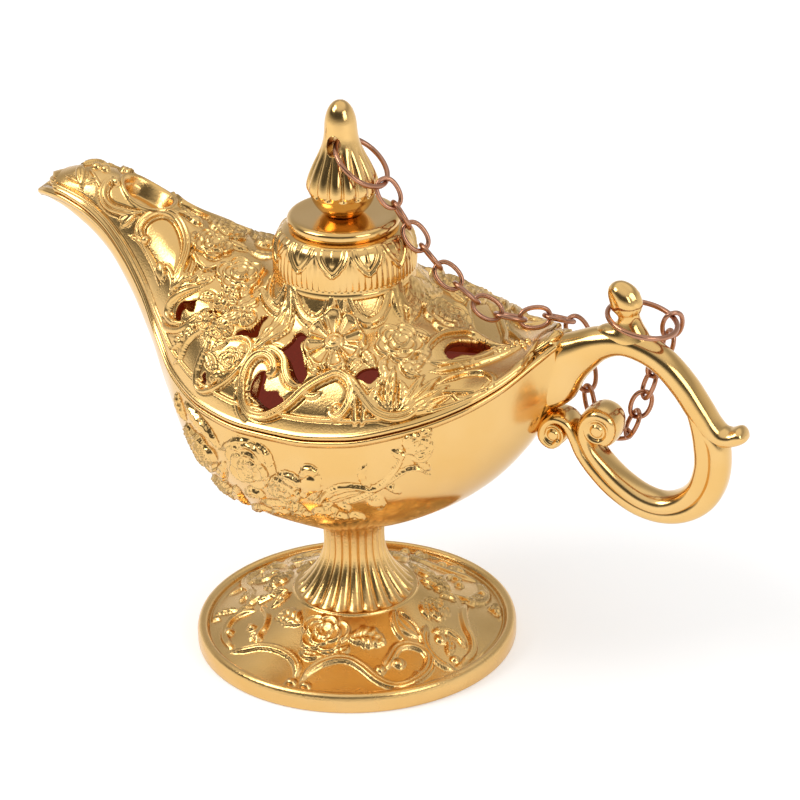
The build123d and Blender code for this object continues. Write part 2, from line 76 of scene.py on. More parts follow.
ray = sight_line(*FOOT_PX)
eye = -ray / np.linalg.norm(ray) * DISTANCE * MM
eye_mm = eye / MM
lens = bpy.data.cameras.new("camera")
lens.sensor_width = SENSOR
lens.lens = FOCAL_PX / FRAME_PX * SENSOR
lens.clip_start, lens.clip_end = NEAREST, FARTHEST
camera = bpy.data.objects.new("camera", lens)
bpy.context.scene.collection.objects.link(camera)
turn = Matrix((right, up, back)).transposed().to_4x4()
camera.matrix_world = Matrix.Translation(Vector(eye)) @ turn
bpy.context.scene.camera = camera
bpy.context.scene.view_settings.view_transform = "Standard"


# Sizes in mm, taken from the boxes of the CAD nodes where they have them

def box_mm(node):
    """Low and high corner of a node's box."""
    low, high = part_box(node)
    return np.array(low) / MM, np.array(high) / MM


BOWL_LOW, BOWL_HIGH = box_mm("bowl")
LID_LOW, LID_HIGH = box_mm("lid")
LID_SPAN = (LID_LOW[0], LID_HIGH[0])
BOWL_SPAN = (BOWL_LOW[0], BOWL_HIGH[0])

BAND_PROUD, BAND_HEIGHT, RIM_GAP = 0.5, 1.4, 0.3
BOWL_WALL, LID_WALL = 1.8, 1.6
SPOUT_REACH = -BOWL_LOW[0]
STERN_REACH = BOWL_HIGH[0]
HALF_WIDTH = BOWL_HIGH[1] - BAND_PROUD
SEAT_HEIGHT = box_mm("foot")[1][2]
KEEL_RISE = 0.4
BOWL_DEPTH, LID_CROWN = 29.8, 19.2
RIM_LOW = SEAT_HEIGHT + KEEL_RISE + BOWL_DEPTH
SPOUT_RISE, STERN_RISE = 30.1, 15.2
TIP_ROUND, TAIL_ROUND, LEAST_WIDTH = 2.4, 3.8, 0.3
# Share of the stern where the lid starts to sink to its tail, and the least height left there
TAIL_START, TAIL_LEAST = 0.88, 0.1

# Place along the hull, half width, rim rise, keel depth and crown height, as shares
HULL = np.array((
    (-1.000, 0.075, 0.977, 0.060, 0.090),
    (-0.970, 0.115, 0.993, 0.092, 0.126),
    (-0.922, 0.157, 1.000, 0.131, 0.172),
    (-0.836, 0.205, 0.963, 0.201, 0.297),
    (-0.750, 0.246, 0.870, 0.275, 0.406),
    (-0.672, 0.287, 0.704, 0.386, 0.583),
    (-0.594, 0.362, 0.492, 0.540, 0.792),
    (-0.516, 0.491, 0.266, 0.681, 1.016),
    (-0.422, 0.683, 0.116, 0.829, 1.094),
    (-0.281, 0.874, 0.027, 0.940, 1.089),
    (-0.125, 0.976, 0.000, 0.987, 1.026),
    (0.045, 1.000, 0.000, 1.000, 1.000),
    (0.273, 0.976, 0.066, 0.940, 0.911),
    (0.500, 0.874, 0.224, 0.866, 0.600),
    (0.705, 0.683, 0.421, 0.745, 0.240),
    (0.841, 0.461, 0.618, 0.610, 0.170),
    (0.943, 0.222, 0.855, 0.480, 0.150),
    (0.985, 0.145, 0.963, 0.436, 0.143),
    (1.000, 0.123, 1.000, 0.419, 0.140),
))
# Angle up a half section as a share of a right angle, and its reach as a share of an ellipse's
KEEL_SECTION = np.array(((0.0, 1.0), (0.318, 1.006), (0.639, 1.018), (1.0, 1.0)))
CROWN_SECTION = np.array(((0.0, 1.0), (0.285, 0.972), (0.639, 0.991), (1.0, 1.0)))


def smooth(x, xs, ys):
    """A smooth curve through points that doesn't overshoot them."""
    x, xs, ys = np.asarray(x, float), np.asarray(xs, float), np.asarray(ys, float)
    h = np.diff(xs)
    d = np.diff(ys) / h
    m = np.zeros(len(xs))
    same = d[:-1] * d[1:] > 0
    w1, w2 = 2 * h[1:] + h[:-1], h[1:] + 2 * h[:-1]
    with np.errstate(divide="ignore", invalid="ignore"):
        inner = (w1 + w2) / (w1 / d[:-1] + w2 / d[1:])
    m[1:-1] = np.where(same, inner, 0)
    m[0], m[-1] = d[0], d[-1]
    i = np.clip(np.searchsorted(xs, x) - 1, 0, len(h) - 1)
    t = np.clip((x - xs[i]) / h[i], 0, 1)
    return (
        (1 + 2 * t) * (1 - t) ** 2 * ys[i]
        + t * (1 - t) ** 2 * h[i] * m[i]
        + t * t * (3 - 2 * t) * ys[i + 1]
        - t * t * (1 - t) * h[i] * m[i + 1]
    )


def spline(points, count):
    """Points evenly spread along a smooth curve through the given ones, in 2D or 3D."""
    p = np.asarray(points, float)
    if len(p) == 2:
        return p[0] + np.linspace(0, 1, count)[:, None] * (p[1] - p[0])
    a = np.vstack([2 * p[0] - p[1], p, 2 * p[-1] - p[-2]])
    t = np.linspace(0, 1, 16, endpoint=False)[:, None]
    run = []
    for p0, p1, p2, p3 in zip(a, a[1:], a[2:], a[3:]):
        run.append(
            0.5 * (2 * p1 + (p2 - p0) * t + (2 * p0 - 5 * p1 + 4 * p2 - p3) * t * t
                   + (3 * p1 - p0 - 3 * p2 + p3) * t ** 3)
        )
    run = np.vstack([*run, p[-1:]])
    s = np.r_[0, np.cumsum(np.linalg.norm(np.diff(run, axis=0), axis=1))]
    want = np.linspace(0, s[-1], count)
    return np.stack([np.interp(want, s, run[:, k]) for k in range(p.shape[1])], 1)


def hull(x):
    """Half width, rim height, keel depth and crown height at places along the hull, in mm."""
    x = np.asarray(x, float)
    share = np.where(x < 0, x / SPOUT_REACH, x / STERN_REACH)
    width, rise, depth, crown = (smooth(share, HULL[:, 0], HULL[:, k]) for k in range(1, 5))
    rise = np.where(x < 0, rise * SPOUT_RISE, rise * STERN_RISE)
    return width * HALF_WIDTH, RIM_LOW + rise, depth * BOWL_DEPTH, crown * LID_CROWN


def lid_width(x, width):
    """The lid's half width, with its tip and tail rounded in plan."""
    for end, radius in ((LID_LOW[0], TIP_ROUND), (LID_HIGH[0], TAIL_ROUND)):
        left = np.clip(radius - np.abs(np.asarray(x, float) - end), 0, radius)
        width = np.where(left > 0, np.minimum(width, np.sqrt(radius ** 2 - left ** 2)), width)
    return np.maximum(width, LEAST_WIDTH)


def on_lid(x, q, inset=0.0):
    """Points of the lid's near side: x along in mm, q from 0 at the rim to 1 on the ridge."""
    width, rim, depth, crown = hull(x)
    lift = RIM_GAP + BAND_HEIGHT / 2
    angle = np.asarray(q, float) * math.pi / 2
    reach = smooth(q, CROWN_SECTION[:, 0], CROWN_SECTION[:, 1])
    y = -np.maximum(lid_width(x, width) - inset, LEAST_WIDTH / 2) * reach * np.cos(angle)
    past = np.clip((np.asarray(x, float) / STERN_REACH - TAIL_START) / (1 - TAIL_START), 0, 1)
    tail = np.maximum(np.sqrt(1 - past ** 2), TAIL_LEAST)
    z = rim + lift + (crown - lift - inset) * reach * np.sin(angle) * tail
    return np.stack(np.broadcast_arrays(x, y, z), -1)


def on_bowl(x, q, inset=0.0):
    """Points of the bowl's near side: x along in mm, q from 0 at the rim to 1 on the keel."""
    width, rim, depth, crown = hull(x)
    angle = np.asarray(q, float) * math.pi / 2
    reach = smooth(q, KEEL_SECTION[:, 0], KEEL_SECTION[:, 1])
    y = -(width - inset) * reach * np.cos(angle)
    z = rim - (depth - inset) * reach * np.sin(angle)
    return np.stack(np.broadcast_arrays(x, y, z), -1)


# Mesh helpers

def grid_faces(nu, nv, wrap_u=False, wrap_v=False, flip=False):
    """Quads of a grid whose vertices run v fastest."""
    u = np.arange(nu if wrap_u else nu - 1)
    v = np.arange(nv if wrap_v else nv - 1)
    a, b = np.meshgrid(u, v, indexing="ij")
    a2, b2 = (a + 1) % nu, (b + 1) % nv
    quads = np.stack([a * nv + b, a2 * nv + b, a2 * nv + b2, a * nv + b2], -1).reshape(-1, 4)
    return quads[:, ::-1] if flip else quads


def make_piece(name, verts, faces, material, body, replaces=()):
    """A mesh object, given in mm, that rides on a body and can stand for CAD nodes."""
    mesh = bpy.data.meshes.new(name)
    verts = np.asarray(verts, float).reshape(-1, 3) * MM
    mesh.from_pydata(verts.tolist(), [], [list(map(int, f)) for f in faces])
    mesh.polygons.foreach_set("use_smooth", [True] * len(mesh.polygons))
    mesh.materials.append(material)
    mesh.update()
    piece = bpy.data.objects.new(name, mesh)
    bpy.context.scene.collection.objects.link(piece)
    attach(piece, body)
    if replaces:
        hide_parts(*replaces)
    return piece


def turned(turn, radius, z):
    """Points of a surface turned about the Z axis, from a column of angles, radii and heights."""
    return np.stack(np.broadcast_arrays(radius * np.cos(turn), radius * np.sin(turn), z), -1)


def tube(path, radius, closed=True, sides=16):
    """Vertices and quads of a round wire along a path of points."""
    path = np.asarray(path, float)
    if closed:
        tangent = np.roll(path, -1, 0) - np.roll(path, 1, 0)
    else:
        tangent = np.gradient(path, axis=0)
    tangent /= np.linalg.norm(tangent, axis=1)[:, None]
    normal = np.cross(tangent[0], (0.3, 0.5, 0.81))
    frames = []
    for t in tangent:
        normal = normal - t * (normal @ t)
        normal /= np.linalg.norm(normal)
        frames.append((normal, np.cross(t, normal)))
    a = np.linspace(0, 2 * math.pi, sides, endpoint=False)
    verts = [p + radius * (np.outer(np.cos(a), n) + np.outer(np.sin(a), b))
             for p, (n, b) in zip(path, frames)]
    return np.vstack(verts), grid_faces(len(path), sides, wrap_u=closed, wrap_v=True)


# Traced places: photograph pixels carried onto the surfaces, and relief painted there

def to_pixels(points):
    """Where the camera sees points given in mm."""
    view = np.asarray(points, float) - eye_mm
    depth = -(view @ back)
    across, down = view @ right / depth, -(view @ up) / depth
    return HALF_PX + FOCAL_PX * across, HALF_PX + FOCAL_PX * down


def section_centre(x):
    """Middle of the hull's section, at the height of the rim."""
    return np.stack([x, 0 * x, hull(x)[1]], -1)


# Seen points that a pixel takes its place from, and pixels added to their distances
NEIGHBOURS, SOFTENING = 6, 0.05


class Traced:
    """Finds the surface coordinates that the camera sees at a pixel."""

    def __init__(self, surface, span, centre=section_centre, count=(700, 260)):
        x = np.linspace(*span, count[0])[:, None]
        q = np.linspace(0, 1, count[1])[None, :]
        points = surface(x, q)
        self.centre = centre
        normals = np.cross(np.gradient(points, axis=1), np.gradient(points, axis=0))
        outward = np.sign(np.sum(normals * (points - centre(x)), -1))[..., None]
        facing = np.sum(normals * outward * (eye_mm - points), -1) > 0
        u, v = to_pixels(points)
        uv = np.stack([u, v], -1)[facing]
        self.xq = np.stack(np.broadcast_arrays(x, q), -1)[facing]
        self.tree = KDTree(len(uv))
        for i, (a, b) in enumerate(uv):
            self.tree.insert((a, b, 0), i)
        self.tree.balance()

    def __call__(self, pixels):
        found = []
        for a, b in pixels:
            near = self.tree.find_n((a, b, 0), NEIGHBOURS)
            index = [n[1] for n in near]
            weight = np.array([1 / (n[2] + SOFTENING) ** 2 for n in near])
            found.append((self.xq[index] * weight[:, None]).sum(0) / weight.sum())
        return np.array(found)


# Rings of a rose: petals, distance and size of each as a share of the radius, inner and outer height
ROSE_RINGS = ((5, 0.52, 0.50, 0.26, 0.52), (4, 0.30, 0.40, 0.36, 0.66), (3, 0.12, 0.26, 0.46, 0.80))
# Width and height in mm of a petal's edge and of the line inside it, and that line's size as a share
PETAL_EDGE, PETAL_LINE, PETAL_INSET = (1.3, 1.0), (0.5, 0.45), 0.66
# Pixel row at which the leaves of the fan are straight, and their bend for each pixel off it
FAN_LEVEL, FAN_BEND = 402, 0.05
# Relief in mm under which a place counts as bare field
BARE = 0.03


class Relief:
    """Heights painted on a grid of surface points, in mm along the normals."""

    def __init__(self, surface, traced, x, q):
        self.surface, self.traced, self.x = surface, traced, x
        self.points = surface(x, q)
        n = np.cross(np.gradient(self.points, axis=1), np.gradient(self.points, axis=0))
        if traced.centre is section_centre:
            n[:, -1] *= (1, 0, 1)
        n /= np.linalg.norm(n, axis=2)[..., None] + 1e-9
        sign = np.sign(np.sum(n * (self.points - traced.centre(x)), -1))[..., None]
        self.normals = n * np.where(sign == 0, 1, sign)
        self.height = np.zeros(x.shape)
        self.flat_points = self.points.reshape(-1, 3)

    def place(self, pixels):
        """Points of the surface seen at pixels."""
        xq = self.traced(pixels)
        return self.surface(xq[:, 0], xq[:, 1])

    def near(self, path, reach):
        """Indices of the grid points within reach of a path, in 3D."""
        low, high = path.min(0) - reach, path.max(0) + reach
        inside = np.all((self.flat_points > low) & (self.flat_points < high), axis=1)
        return np.nonzero(inside)[0]

    def along(self, index, path):
        """Distance of chosen grid points to a path, their share along it, and its length."""
        points = self.flat_points[index]
        a, b = path[:-1], path[1:]
        ab = b - a
        length = np.linalg.norm(ab, axis=1)
        start = np.r_[0, np.cumsum(length)]
        t = np.einsum("mki,ki->mk", points[:, None, :] - a[None], ab) / (length ** 2 + 1e-12)
        t = np.clip(t, 0, 1)
        offset = points[:, None, :] - (a[None] + t[..., None] * ab[None])
        distance = np.linalg.norm(offset, axis=2)
        best = np.argmin(distance, axis=1)
        rows = np.arange(len(points))
        share = (start[best] + t[rows, best] * length[best]) / start[-1]
        return distance[rows, best], share, start[-1]

    def raise_to(self, index, height):
        """Lifts the chosen grid points to a height, where they are lower."""
        flat = self.height.reshape(-1)
        flat[index] = np.maximum(flat[index], height)

    def moat(self, index, d, depth, reach=0.8):
        """Lowers the bare field just outside an ornament whose edge is at d = 1."""
        flat = self.height.reshape(-1)
        t = (d - 1) / reach
        beside = (t > 0) & (t < 1) & (flat[index] < BARE)
        sunk = -depth * np.clip(1 - t[beside], 0, 1)
        flat[index[beside]] = np.minimum(flat[index[beside]], sunk)

    def curve(self, pixels):
        """Points on the surface along a smooth curve through pixels."""
        return spline(self.place(pixels), max(12, 6 * len(pixels)))

    def ridge(self, pixels, width, height, ends=(0.15, 0.15), groove=0.0):
        """A rounded moulding along a curve. It thins out over the shares given for its ends."""
        self.ridge_on(self.curve(pixels), width, height, ends, groove)

    def ridge_on(self, path, width, height, ends, groove=0.0):
        """The same along a path that is given in mm."""
        index = self.near(path, 1.1 * width)
        if not len(index):
            return
        distance, share, _ = self.along(index, path)
        thin = np.ones_like(share)
        if ends[0]:
            thin = np.minimum(thin, (share / ends[0] + 0.02) ** 0.6)
        if ends[1]:
            thin = np.minimum(thin, ((1 - share) / ends[1] + 0.02) ** 0.6)
        half = width / 2 * np.clip(thin, 0.25, 1)
        d = distance / half
        rise = np.clip(1 - d * d, 0, None) ** 0.5
        if groove:
            rise -= groove * np.exp(-(d / 0.28) ** 2)
        inside = d < 1
        self.moat(index, d, 0.3 * height)
        self.raise_to(index[inside], (height * np.clip(thin, 0.3, 1) * rise)[inside])

    def local(self, pixel, radius, turn=0.0):
        """Indices and tangent plane coordinates of the grid points round a place."""
        centre = self.place([pixel])[0]
        reach = np.linalg.norm(self.flat_points - centre, axis=1)
        index = np.nonzero(reach < radius)[0]
        nearest = np.argmin(reach)
        normal = self.normals.reshape(-1, 3)[nearest]
        ahead = np.array((1.0, 0, 0)) - normal * normal[0]
        ahead /= np.linalg.norm(ahead)
        upward = np.cross(normal, ahead)
        offset = self.flat_points[index] - centre
        a, b = offset @ ahead, offset @ upward
        c, s = math.cos(turn), math.sin(turn)
        return index, a * c + b * s, b * c - a * s

    def bead(self, pixel, radius, height, stretch=1.0, turn=0.0):
        """A round or oval drop."""
        index, a, b = self.local(pixel, radius * 1.1 * max(stretch, 1), turn)
        d2 = (a / stretch) ** 2 + b ** 2
        rise = height * np.sqrt(np.clip(1 - d2 / radius ** 2, 0, None))
        self.raise_to(index[rise > 0], rise[rise > 0])

    def rose(self, pixel, radius, height, turn=0.0):
        """An open rose: rings of cupped petals, each lapping over the ones laid before it."""
        index, a, b = self.local(pixel, radius * 1.5, turn)
        a, b = a / radius, b / radius
        rise = np.zeros(len(index))
        outside = np.full(len(index), 9.0)
        for ring, (count, reach, size, low, high) in enumerate(ROSE_RINGS):
            for k in range(count):
                t = 2 * math.pi * (k + 0.4 * ring) / count + 0.5 * ring
                side, out = a - reach * math.cos(t), b - reach * math.sin(t)
                d = np.hypot(side, out) / size
                outward = (side * math.cos(t) + out * math.sin(t)) / size
                level = low + (high - low) * np.clip(0.5 + 0.5 * outward, 0, 1) ** 1.4
                level = level + 0.26 * np.exp(-((d - 0.86) / 0.11) ** 2)
                edge = np.clip((1 - d) / 0.1, 0, 1) ** 0.5
                rise = np.where(d < 1, np.where(rise > 0, level, level * edge), rise)
                outside = np.minimum(outside, d * size / 0.4)
        self.moat(index, outside, 0.3 * height, 0.4)
        inside = rise > 0
        self.raise_to(index[inside], height * rise[inside])

    def dish(self, middle, half_long, half_wide, depth):
        """Depth of an oval recess across the middle plane, at every grid point."""
        d = np.hypot((self.points[..., 0] - middle) / half_long, self.points[..., 1] / half_wide)
        t = np.clip((1 - d) / 0.16, 0, 1)
        lip = np.exp(-((d - 1.1) / 0.09) ** 2)
        top_side = self.normals[..., 2] > 0
        return np.where(top_side, depth * (t * t * (3 - 2 * t) - 0.16 * lip), 0)

    def border(self, level, width, height):
        """A moulding that follows the rim at a level of q."""
        low, high = self.x.min(), self.x.max()
        x = low + (high - low) * np.linspace(0, 1, 160)
        self.ridge_on(self.surface(x, np.full(160, level)), width, height, (0, 0))

    def daisy(self, pixel, radius, height, petals, turn=0.0, button=0.3):
        """A flat flower of grooved petals round a button with a dimple."""
        index, a, b = self.local(pixel, radius * 1.4, turn)
        ro, angle = np.hypot(a, b) / radius, np.arctan2(b, a)
        phase = np.abs((angle * petals / (2 * math.pi)) % 1 - 0.5) * 2
        edge = 0.72 + 0.28 * np.sqrt(np.clip(1 - phase ** 2, 0, 1))
        inside = (phase < 0.9) & (ro < edge)
        rim = np.exp(-((phase - 0.68) / 0.2) ** 2)
        rim = np.maximum(rim, np.exp(-((edge - ro - 0.08) / 0.07) ** 2))
        rise = height * (0.34 + 0.22 * np.clip(ro, 0, 1) + 0.5 * rim)
        rise = np.where(inside, rise, 0)
        self.moat(index, ro, 0.3 * height, 0.3)
        d = ro / button
        knob = height * (0.75 + 0.45 * np.sqrt(np.clip(1 - d * d, 0, 1)))
        knob = knob - 0.25 * height * np.exp(-((d - 0.62) / 0.1) ** 2)
        knob = knob - 0.2 * height * np.exp(-(d / 0.18) ** 2)
        rise = np.where(d < 1, knob, rise)
        inside = rise > 0
        self.raise_to(index[inside], rise[inside])

    def leaf(self, pixels, width, height, lobes=0, veins=5, fold=0.35, tip=0.5):
        """A pointed leaf along its midrib, with a fold, side veins and, if asked, lobed edges."""
        path = self.curve(pixels)
        index = self.near(path, width)
        if not len(index):
            return
        distance, share, length = self.along(index, path)
        half = width / 2 * np.clip(np.sin(np.pi * np.clip(share, 0, 1) ** (0.5 / tip)), 0, 1) ** 0.75
        if lobes:
            half = half * (0.82 + 0.18 * np.abs(np.sin(math.pi * lobes * share)))
        d = distance / np.maximum(half, 0.05)
        rise = np.clip(1 - d ** 4, 0, 1) ** 0.5
        rise = rise * (1 - fold * np.exp(-(d / 0.22) ** 2))
        if veins:
            wave = np.cos(2 * math.pi * veins * (share - 0.25 * d * width / length))
            rise = rise * (0.9 + 0.1 * wave)
        inside = d < 1
        self.moat(index, d, 0.2 * height, 0.5)
        level = height * (0.5 + 0.5 * np.clip(half / (width / 2), 0, 1))
        self.raise_to(index[inside], (level * rise)[inside])

    def petal(self, pixels):
        """A hanging petal: a grooved edge with a finer line inside it."""
        self.ridge(pixels, *PETAL_EDGE, (0, 0), groove=0.35)
        middle = np.mean(pixels, axis=0)
        inner = [tuple(middle + PETAL_INSET * (np.array(p) - middle)) for p in pixels]
        self.ridge(inner, *PETAL_LINE, (0, 0))

    def fan(self, base, tips, width, height):
        """Slightly bent leaves that spread from one pixel."""
        for tip in tips:
            bend = (tip[1] - FAN_LEVEL) * FAN_BEND
            middle = ((base[0] + tip[0]) / 2 + bend, (base[1] + tip[1]) / 2 + 1)
            self.leaf((base, middle, tip), width, height, veins=0, fold=0.5, tip=0.62)

    def bead_row(self, start, end, bow, count, radius, height):
        """Beads evenly spread between two pixels, along a line that bows up by some pixels."""
        for t in np.arange(count) / (count - 1):
            u = start[0] + (end[0] - start[0]) * t
            v = start[1] + (end[1] - start[1]) * t - bow * math.sin(math.pi * t)
            self.bead((u, v), radius, height)

    def skin(self):
        """The surface with its relief."""
        return self.points + self.normals * self.height[..., None]


def ornament(kind):
    """Makes table rows of one kind of ornament: its traced pixels, sizes in mm and options."""
    def row(*values, **options):
        return kind, values, options
    return row


ridge, border, petal = ornament(Relief.ridge), ornament(Relief.border), ornament(Relief.petal)
leaf, fan = ornament(Relief.leaf), ornament(Relief.fan)
rose, daisy = ornament(Relief.rose), ornament(Relief.daisy)
bead, bead_row = ornament(Relief.bead), ornament(Relief.bead_row)


def paint(relief, rows):
    """Paints the rows of an ornament table in their order, because each leaves a moat round it."""
    for kind, values, options in rows:
        kind(relief, *values, **options)


def even_grid(surface, span, nu, nv):
    """Surface coordinates of a grid whose rows are evenly spaced along the surface."""
    x = np.linspace(*span, 400)
    line = surface(x, np.full(400, 0.6))
    run = np.r_[0, np.cumsum(np.linalg.norm(np.diff(line, axis=0), axis=1))]
    x = np.interp(np.linspace(0, run[-1], nu), run, x)
    return [a.copy() for a in np.broadcast_arrays(x[:, None], np.linspace(0, 1, nv)[None, :])]


def arc_table(surface, x, count=160):
    """Arc lengths from the rim up each section, at evenly spaced q."""
    points = surface(np.asarray(x)[:, None], np.linspace(0, 1, count)[None, :])
    steps = np.linalg.norm(np.diff(points, axis=1), axis=2)
    return np.concatenate([np.zeros((len(x), 1)), np.cumsum(steps, axis=1)], axis=1)


def signed_distance(points, outline):
    """Distance to a closed outline in the plane, negative inside it, and the nearest point."""
    a, b = outline, np.roll(outline, -1, 0)
    ab = b - a
    t = ((points[:, None] - a) * ab).sum(-1) / ((ab ** 2).sum(-1) + 1e-12)
    foot = a + np.clip(t, 0, 1)[..., None] * ab
    distance = np.linalg.norm(points[:, None] - foot, axis=2)
    best = distance.argmin(axis=1)
    rows = np.arange(len(points))
    x, y = points[:, :1], points[:, 1:]
    crossing = (a[:, 1] > y) != (b[:, 1] > y)
    with np.errstate(divide="ignore", invalid="ignore"):
        cut = a[:, 0] + (y - a[:, 1]) * ab[:, 0] / ab[:, 1]
    inside = (crossing & (x < cut)).sum(axis=1) % 2 == 1
    return np.where(inside, -1, 1) * distance[rows, best], foot[rows, best]


def cut_holes(surface, traced, x, q, outlines, snap):
    """Snaps grid points onto the outlines of holes, and marks the faces that lie in a hole."""
    rows = arc_table(surface, x[:, 0])
    levels = np.linspace(0, 1, rows.shape[1])
    arc = np.stack([np.interp(q[i], levels, rows[i]) for i in range(len(x))])
    slope = np.gradient(arc, axis=1) / np.gradient(q, axis=1)
    open_faces = np.zeros((x.shape[0] - 1, x.shape[1] - 1), bool)
    for pixels in outlines:
        seen = traced(pixels + pixels[:1])
        table = arc_table(surface, seen[:, 0])
        reach = [np.interp(b, levels, row) for (_, b), row in zip(seen, table)]
        outline = spline(np.stack([seen[:, 0], reach], 1), 9 * len(pixels))[:-1]
        low, high = outline.min(0) - 1, outline.max(0) + 1
        near = (x > low[0]) & (x < high[0]) & (arc > low[1]) & (arc < high[1])
        points = np.stack([x[near], arc[near]], 1)
        distance, foot = signed_distance(points, outline)
        moved = np.abs(distance) < snap
        target = np.where(moved[:, None], foot, points)
        q[near] += (target[:, 1] - points[:, 1]) / slope[near]
        x[near], arc[near] = target[:, 0], target[:, 1]
        i, j = np.nonzero(near[:-1, :-1])
        centre = np.stack([
            (x[i, j] + x[i + 1, j] + x[i, j + 1] + x[i + 1, j + 1]) / 4,
            (arc[i, j] + arc[i + 1, j] + arc[i, j + 1] + arc[i + 1, j + 1]) / 4,
        ], 1)
        inside = signed_distance(centre, outline)[0] < 0
        open_faces[i[inside], j[inside]] = True
    return open_faces


# Materials

def principled(name, color, roughness, metallic=0.0):
    """A material with its nodes, links and shader."""
    material = bpy.data.materials.new(name)
    material.use_nodes = True
    shader = material.node_tree.nodes["Principled BSDF"]
    shader.inputs["Base Color"].default_value = (*color, 1)
    shader.inputs["Roughness"].default_value = roughness
    shader.inputs["Metallic"].default_value = metallic
    return material, material.node_tree.nodes, material.node_tree.links, shader


GOLD_COLOR = (0.78, 0.505, 0.20)
COPPER_COLOR = (0.47, 0.235, 0.15)
ZINC_COLOR = (0.45, 0.45, 0.43)
VELVET_COLOR = (0.50, 0.055, 0.04)


def add_grain(nodes, links, shader, scale, strength, distance):
    """Fine bumps, the sand of a cast and plated surface."""
    where = nodes.new("ShaderNodeTexCoord")
    noise = nodes.new("ShaderNodeTexNoise")
    noise.inputs["Scale"].default_value = scale
    noise.inputs["Detail"].default_value = 3
    bump = nodes.new("ShaderNodeBump")
    bump.inputs["Strength"].default_value = strength
    bump.inputs["Distance"].default_value = distance
    links.new(where.outputs["Object"], noise.inputs["Vector"])
    links.new(noise.outputs["Fac"], bump.inputs["Height"])
    links.new(bump.outputs["Normal"], shader.inputs["Normal"])
    return where


def add_tone(nodes, links, shader, where, scale, colors, rough):
    """Slow drifts of colour and roughness over a plated surface."""
    noise = nodes.new("ShaderNodeTexNoise")
    noise.inputs["Scale"].default_value = scale
    noise.inputs["Detail"].default_value = 4
    tone = nodes.new("ShaderNodeValToRGB")
    for stop, position, color in zip(tone.color_ramp.elements, (0.35, 0.65), colors):
        stop.position, stop.color = position, (*color, 1)
    spread = nodes.new("ShaderNodeMapRange")
    spread.inputs["From Min"].default_value, spread.inputs["From Max"].default_value = 0.3, 0.7
    spread.inputs["To Min"].default_value, spread.inputs["To Max"].default_value = rough
    links.new(where.outputs["Object"], noise.inputs["Vector"])
    links.new(noise.outputs["Fac"], tone.inputs["Fac"])
    links.new(tone.outputs["Color"], shader.inputs["Base Color"])
    links.new(noise.outputs["Fac"], spread.inputs["Value"])
    links.new(spread.outputs["Result"], shader.inputs["Roughness"])


def metal(name, color, rough, grain_size, grain, depth):
    """A plated metal with fine grain and a slight drift of tone."""
    material, nodes, links, shader = principled(name, color, rough[0], 1.0)
    where = add_grain(nodes, links, shader, 1 / grain_size, grain, depth)
    deeper = tuple(c * k for c, k in zip(color, (0.97, 0.93, 0.82)))
    add_tone(nodes, links, shader, where, 90, (deeper, color), rough)
    return material


# Ranges of roughness, then size, strength and depth of the grain, in metres
polished = metal("gold_polished", GOLD_COLOR, (0.12, 0.20), 0.0005, 0.10, 0.00006)
carved = metal("gold_carved", GOLD_COLOR, (0.20, 0.30), 0.0004, 0.32, 0.00010)
copper = metal("copper", COPPER_COLOR, (0.22, 0.34), 0.0004, 0.2, 0.00005)
steel = metal("zinc", ZINC_COLOR, (0.30, 0.42), 0.0004, 0.2, 0.00005)


def velvet_with_painted_glow():
    """Red velvet with a sheen and a painted glow: a weak red emission that lightens it where the lid
    shades it.
    """
    material, nodes, links, shader = principled("velvet", VELVET_COLOR, 0.9)
    shader.inputs["Sheen Weight"].default_value = 0.6
    shader.inputs["Sheen Tint"].default_value = (0.6, 0.15, 0.12, 1)
    # Painted glow: this emission stands in for light on the lining, which lies in the lid's shade
    shader.inputs["Emission Color"].default_value = (0.55, 0.13, 0.08, 1)
    shader.inputs["Emission Strength"].default_value = 0.2
    add_grain(nodes, links, shader, 1600, 0.5, 0.0003)
    return material


def assign(node, material):
    """Gives a CAD node that stays in view its material."""
    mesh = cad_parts[node].data
    mesh.materials.clear()
    mesh.materials.append(material)


for node in ("foot_screw", "foot_washer", "finial_stud", "finial_nut", "finial_washer"):
    assign(node, steel)
assign("velvet_lining", velvet_with_painted_glow())


# Lid cover and bowl: skins on the same hull curves as the solids

def closed_shell(name, outer, inner, material, body, replaces, open_near=None, open_far=None):
    """Both sides of a thin shell from half grids of its outer and inner points, with edges."""
    nu, nv = outer.shape[:2]
    mirror = np.array((1, -1, 1))
    whole_out = np.concatenate([outer, (outer * mirror)[:, -2::-1]], axis=1)
    whole_in = np.concatenate([inner, (inner * mirror)[:, -2::-1]], axis=1)
    wide = whole_out.shape[1]
    quads = grid_faces(nu, wide)
    if open_near is not None:
        holes = np.concatenate([open_near, open_far[:, ::-1]], axis=1).reshape(-1)
        quads = quads[~holes]
    count = nu * wide
    edges = np.concatenate([quads[:, [k, (k + 1) % 4]] for k in range(4)])
    key = np.sort(edges, axis=1)
    code = key[:, 0] * count + key[:, 1]
    _, index, number = np.unique(code, return_index=True, return_counts=True)
    start, end = edges[index[number == 1]].T
    walls = np.stack([end, start, start + count, end + count], 1)
    faces = np.concatenate([quads, quads[:, ::-1] + count, walls])
    verts = np.concatenate([whole_out.reshape(-1, 3), whole_in.reshape(-1, 3)])
    used = np.unique(faces)
    renumber = np.zeros(len(verts), int)
    renumber[used] = np.arange(len(used))
    make_piece(name, verts[used], renumber[faces], material, body, replaces)


# The flare round the neck, the oval cup in the spout, and where the far side's openings end
COLLAR_FLARE, COLLAR_REACH, COLLAR_WIDTH = 3.4, 18.0, 5.2
CUP_MIDDLE, CUP_LONG, CUP_WIDE, CUP_DEPTH = -41.2, 4.8, 4.0, 3.2
FAR_OPEN_END = 12.0
# Points along and up the lid and the bowl, and how far points move onto an opening's edge
LID_GRID, BOWL_GRID, SNAP = (560, 190), (480, 160), 0.16
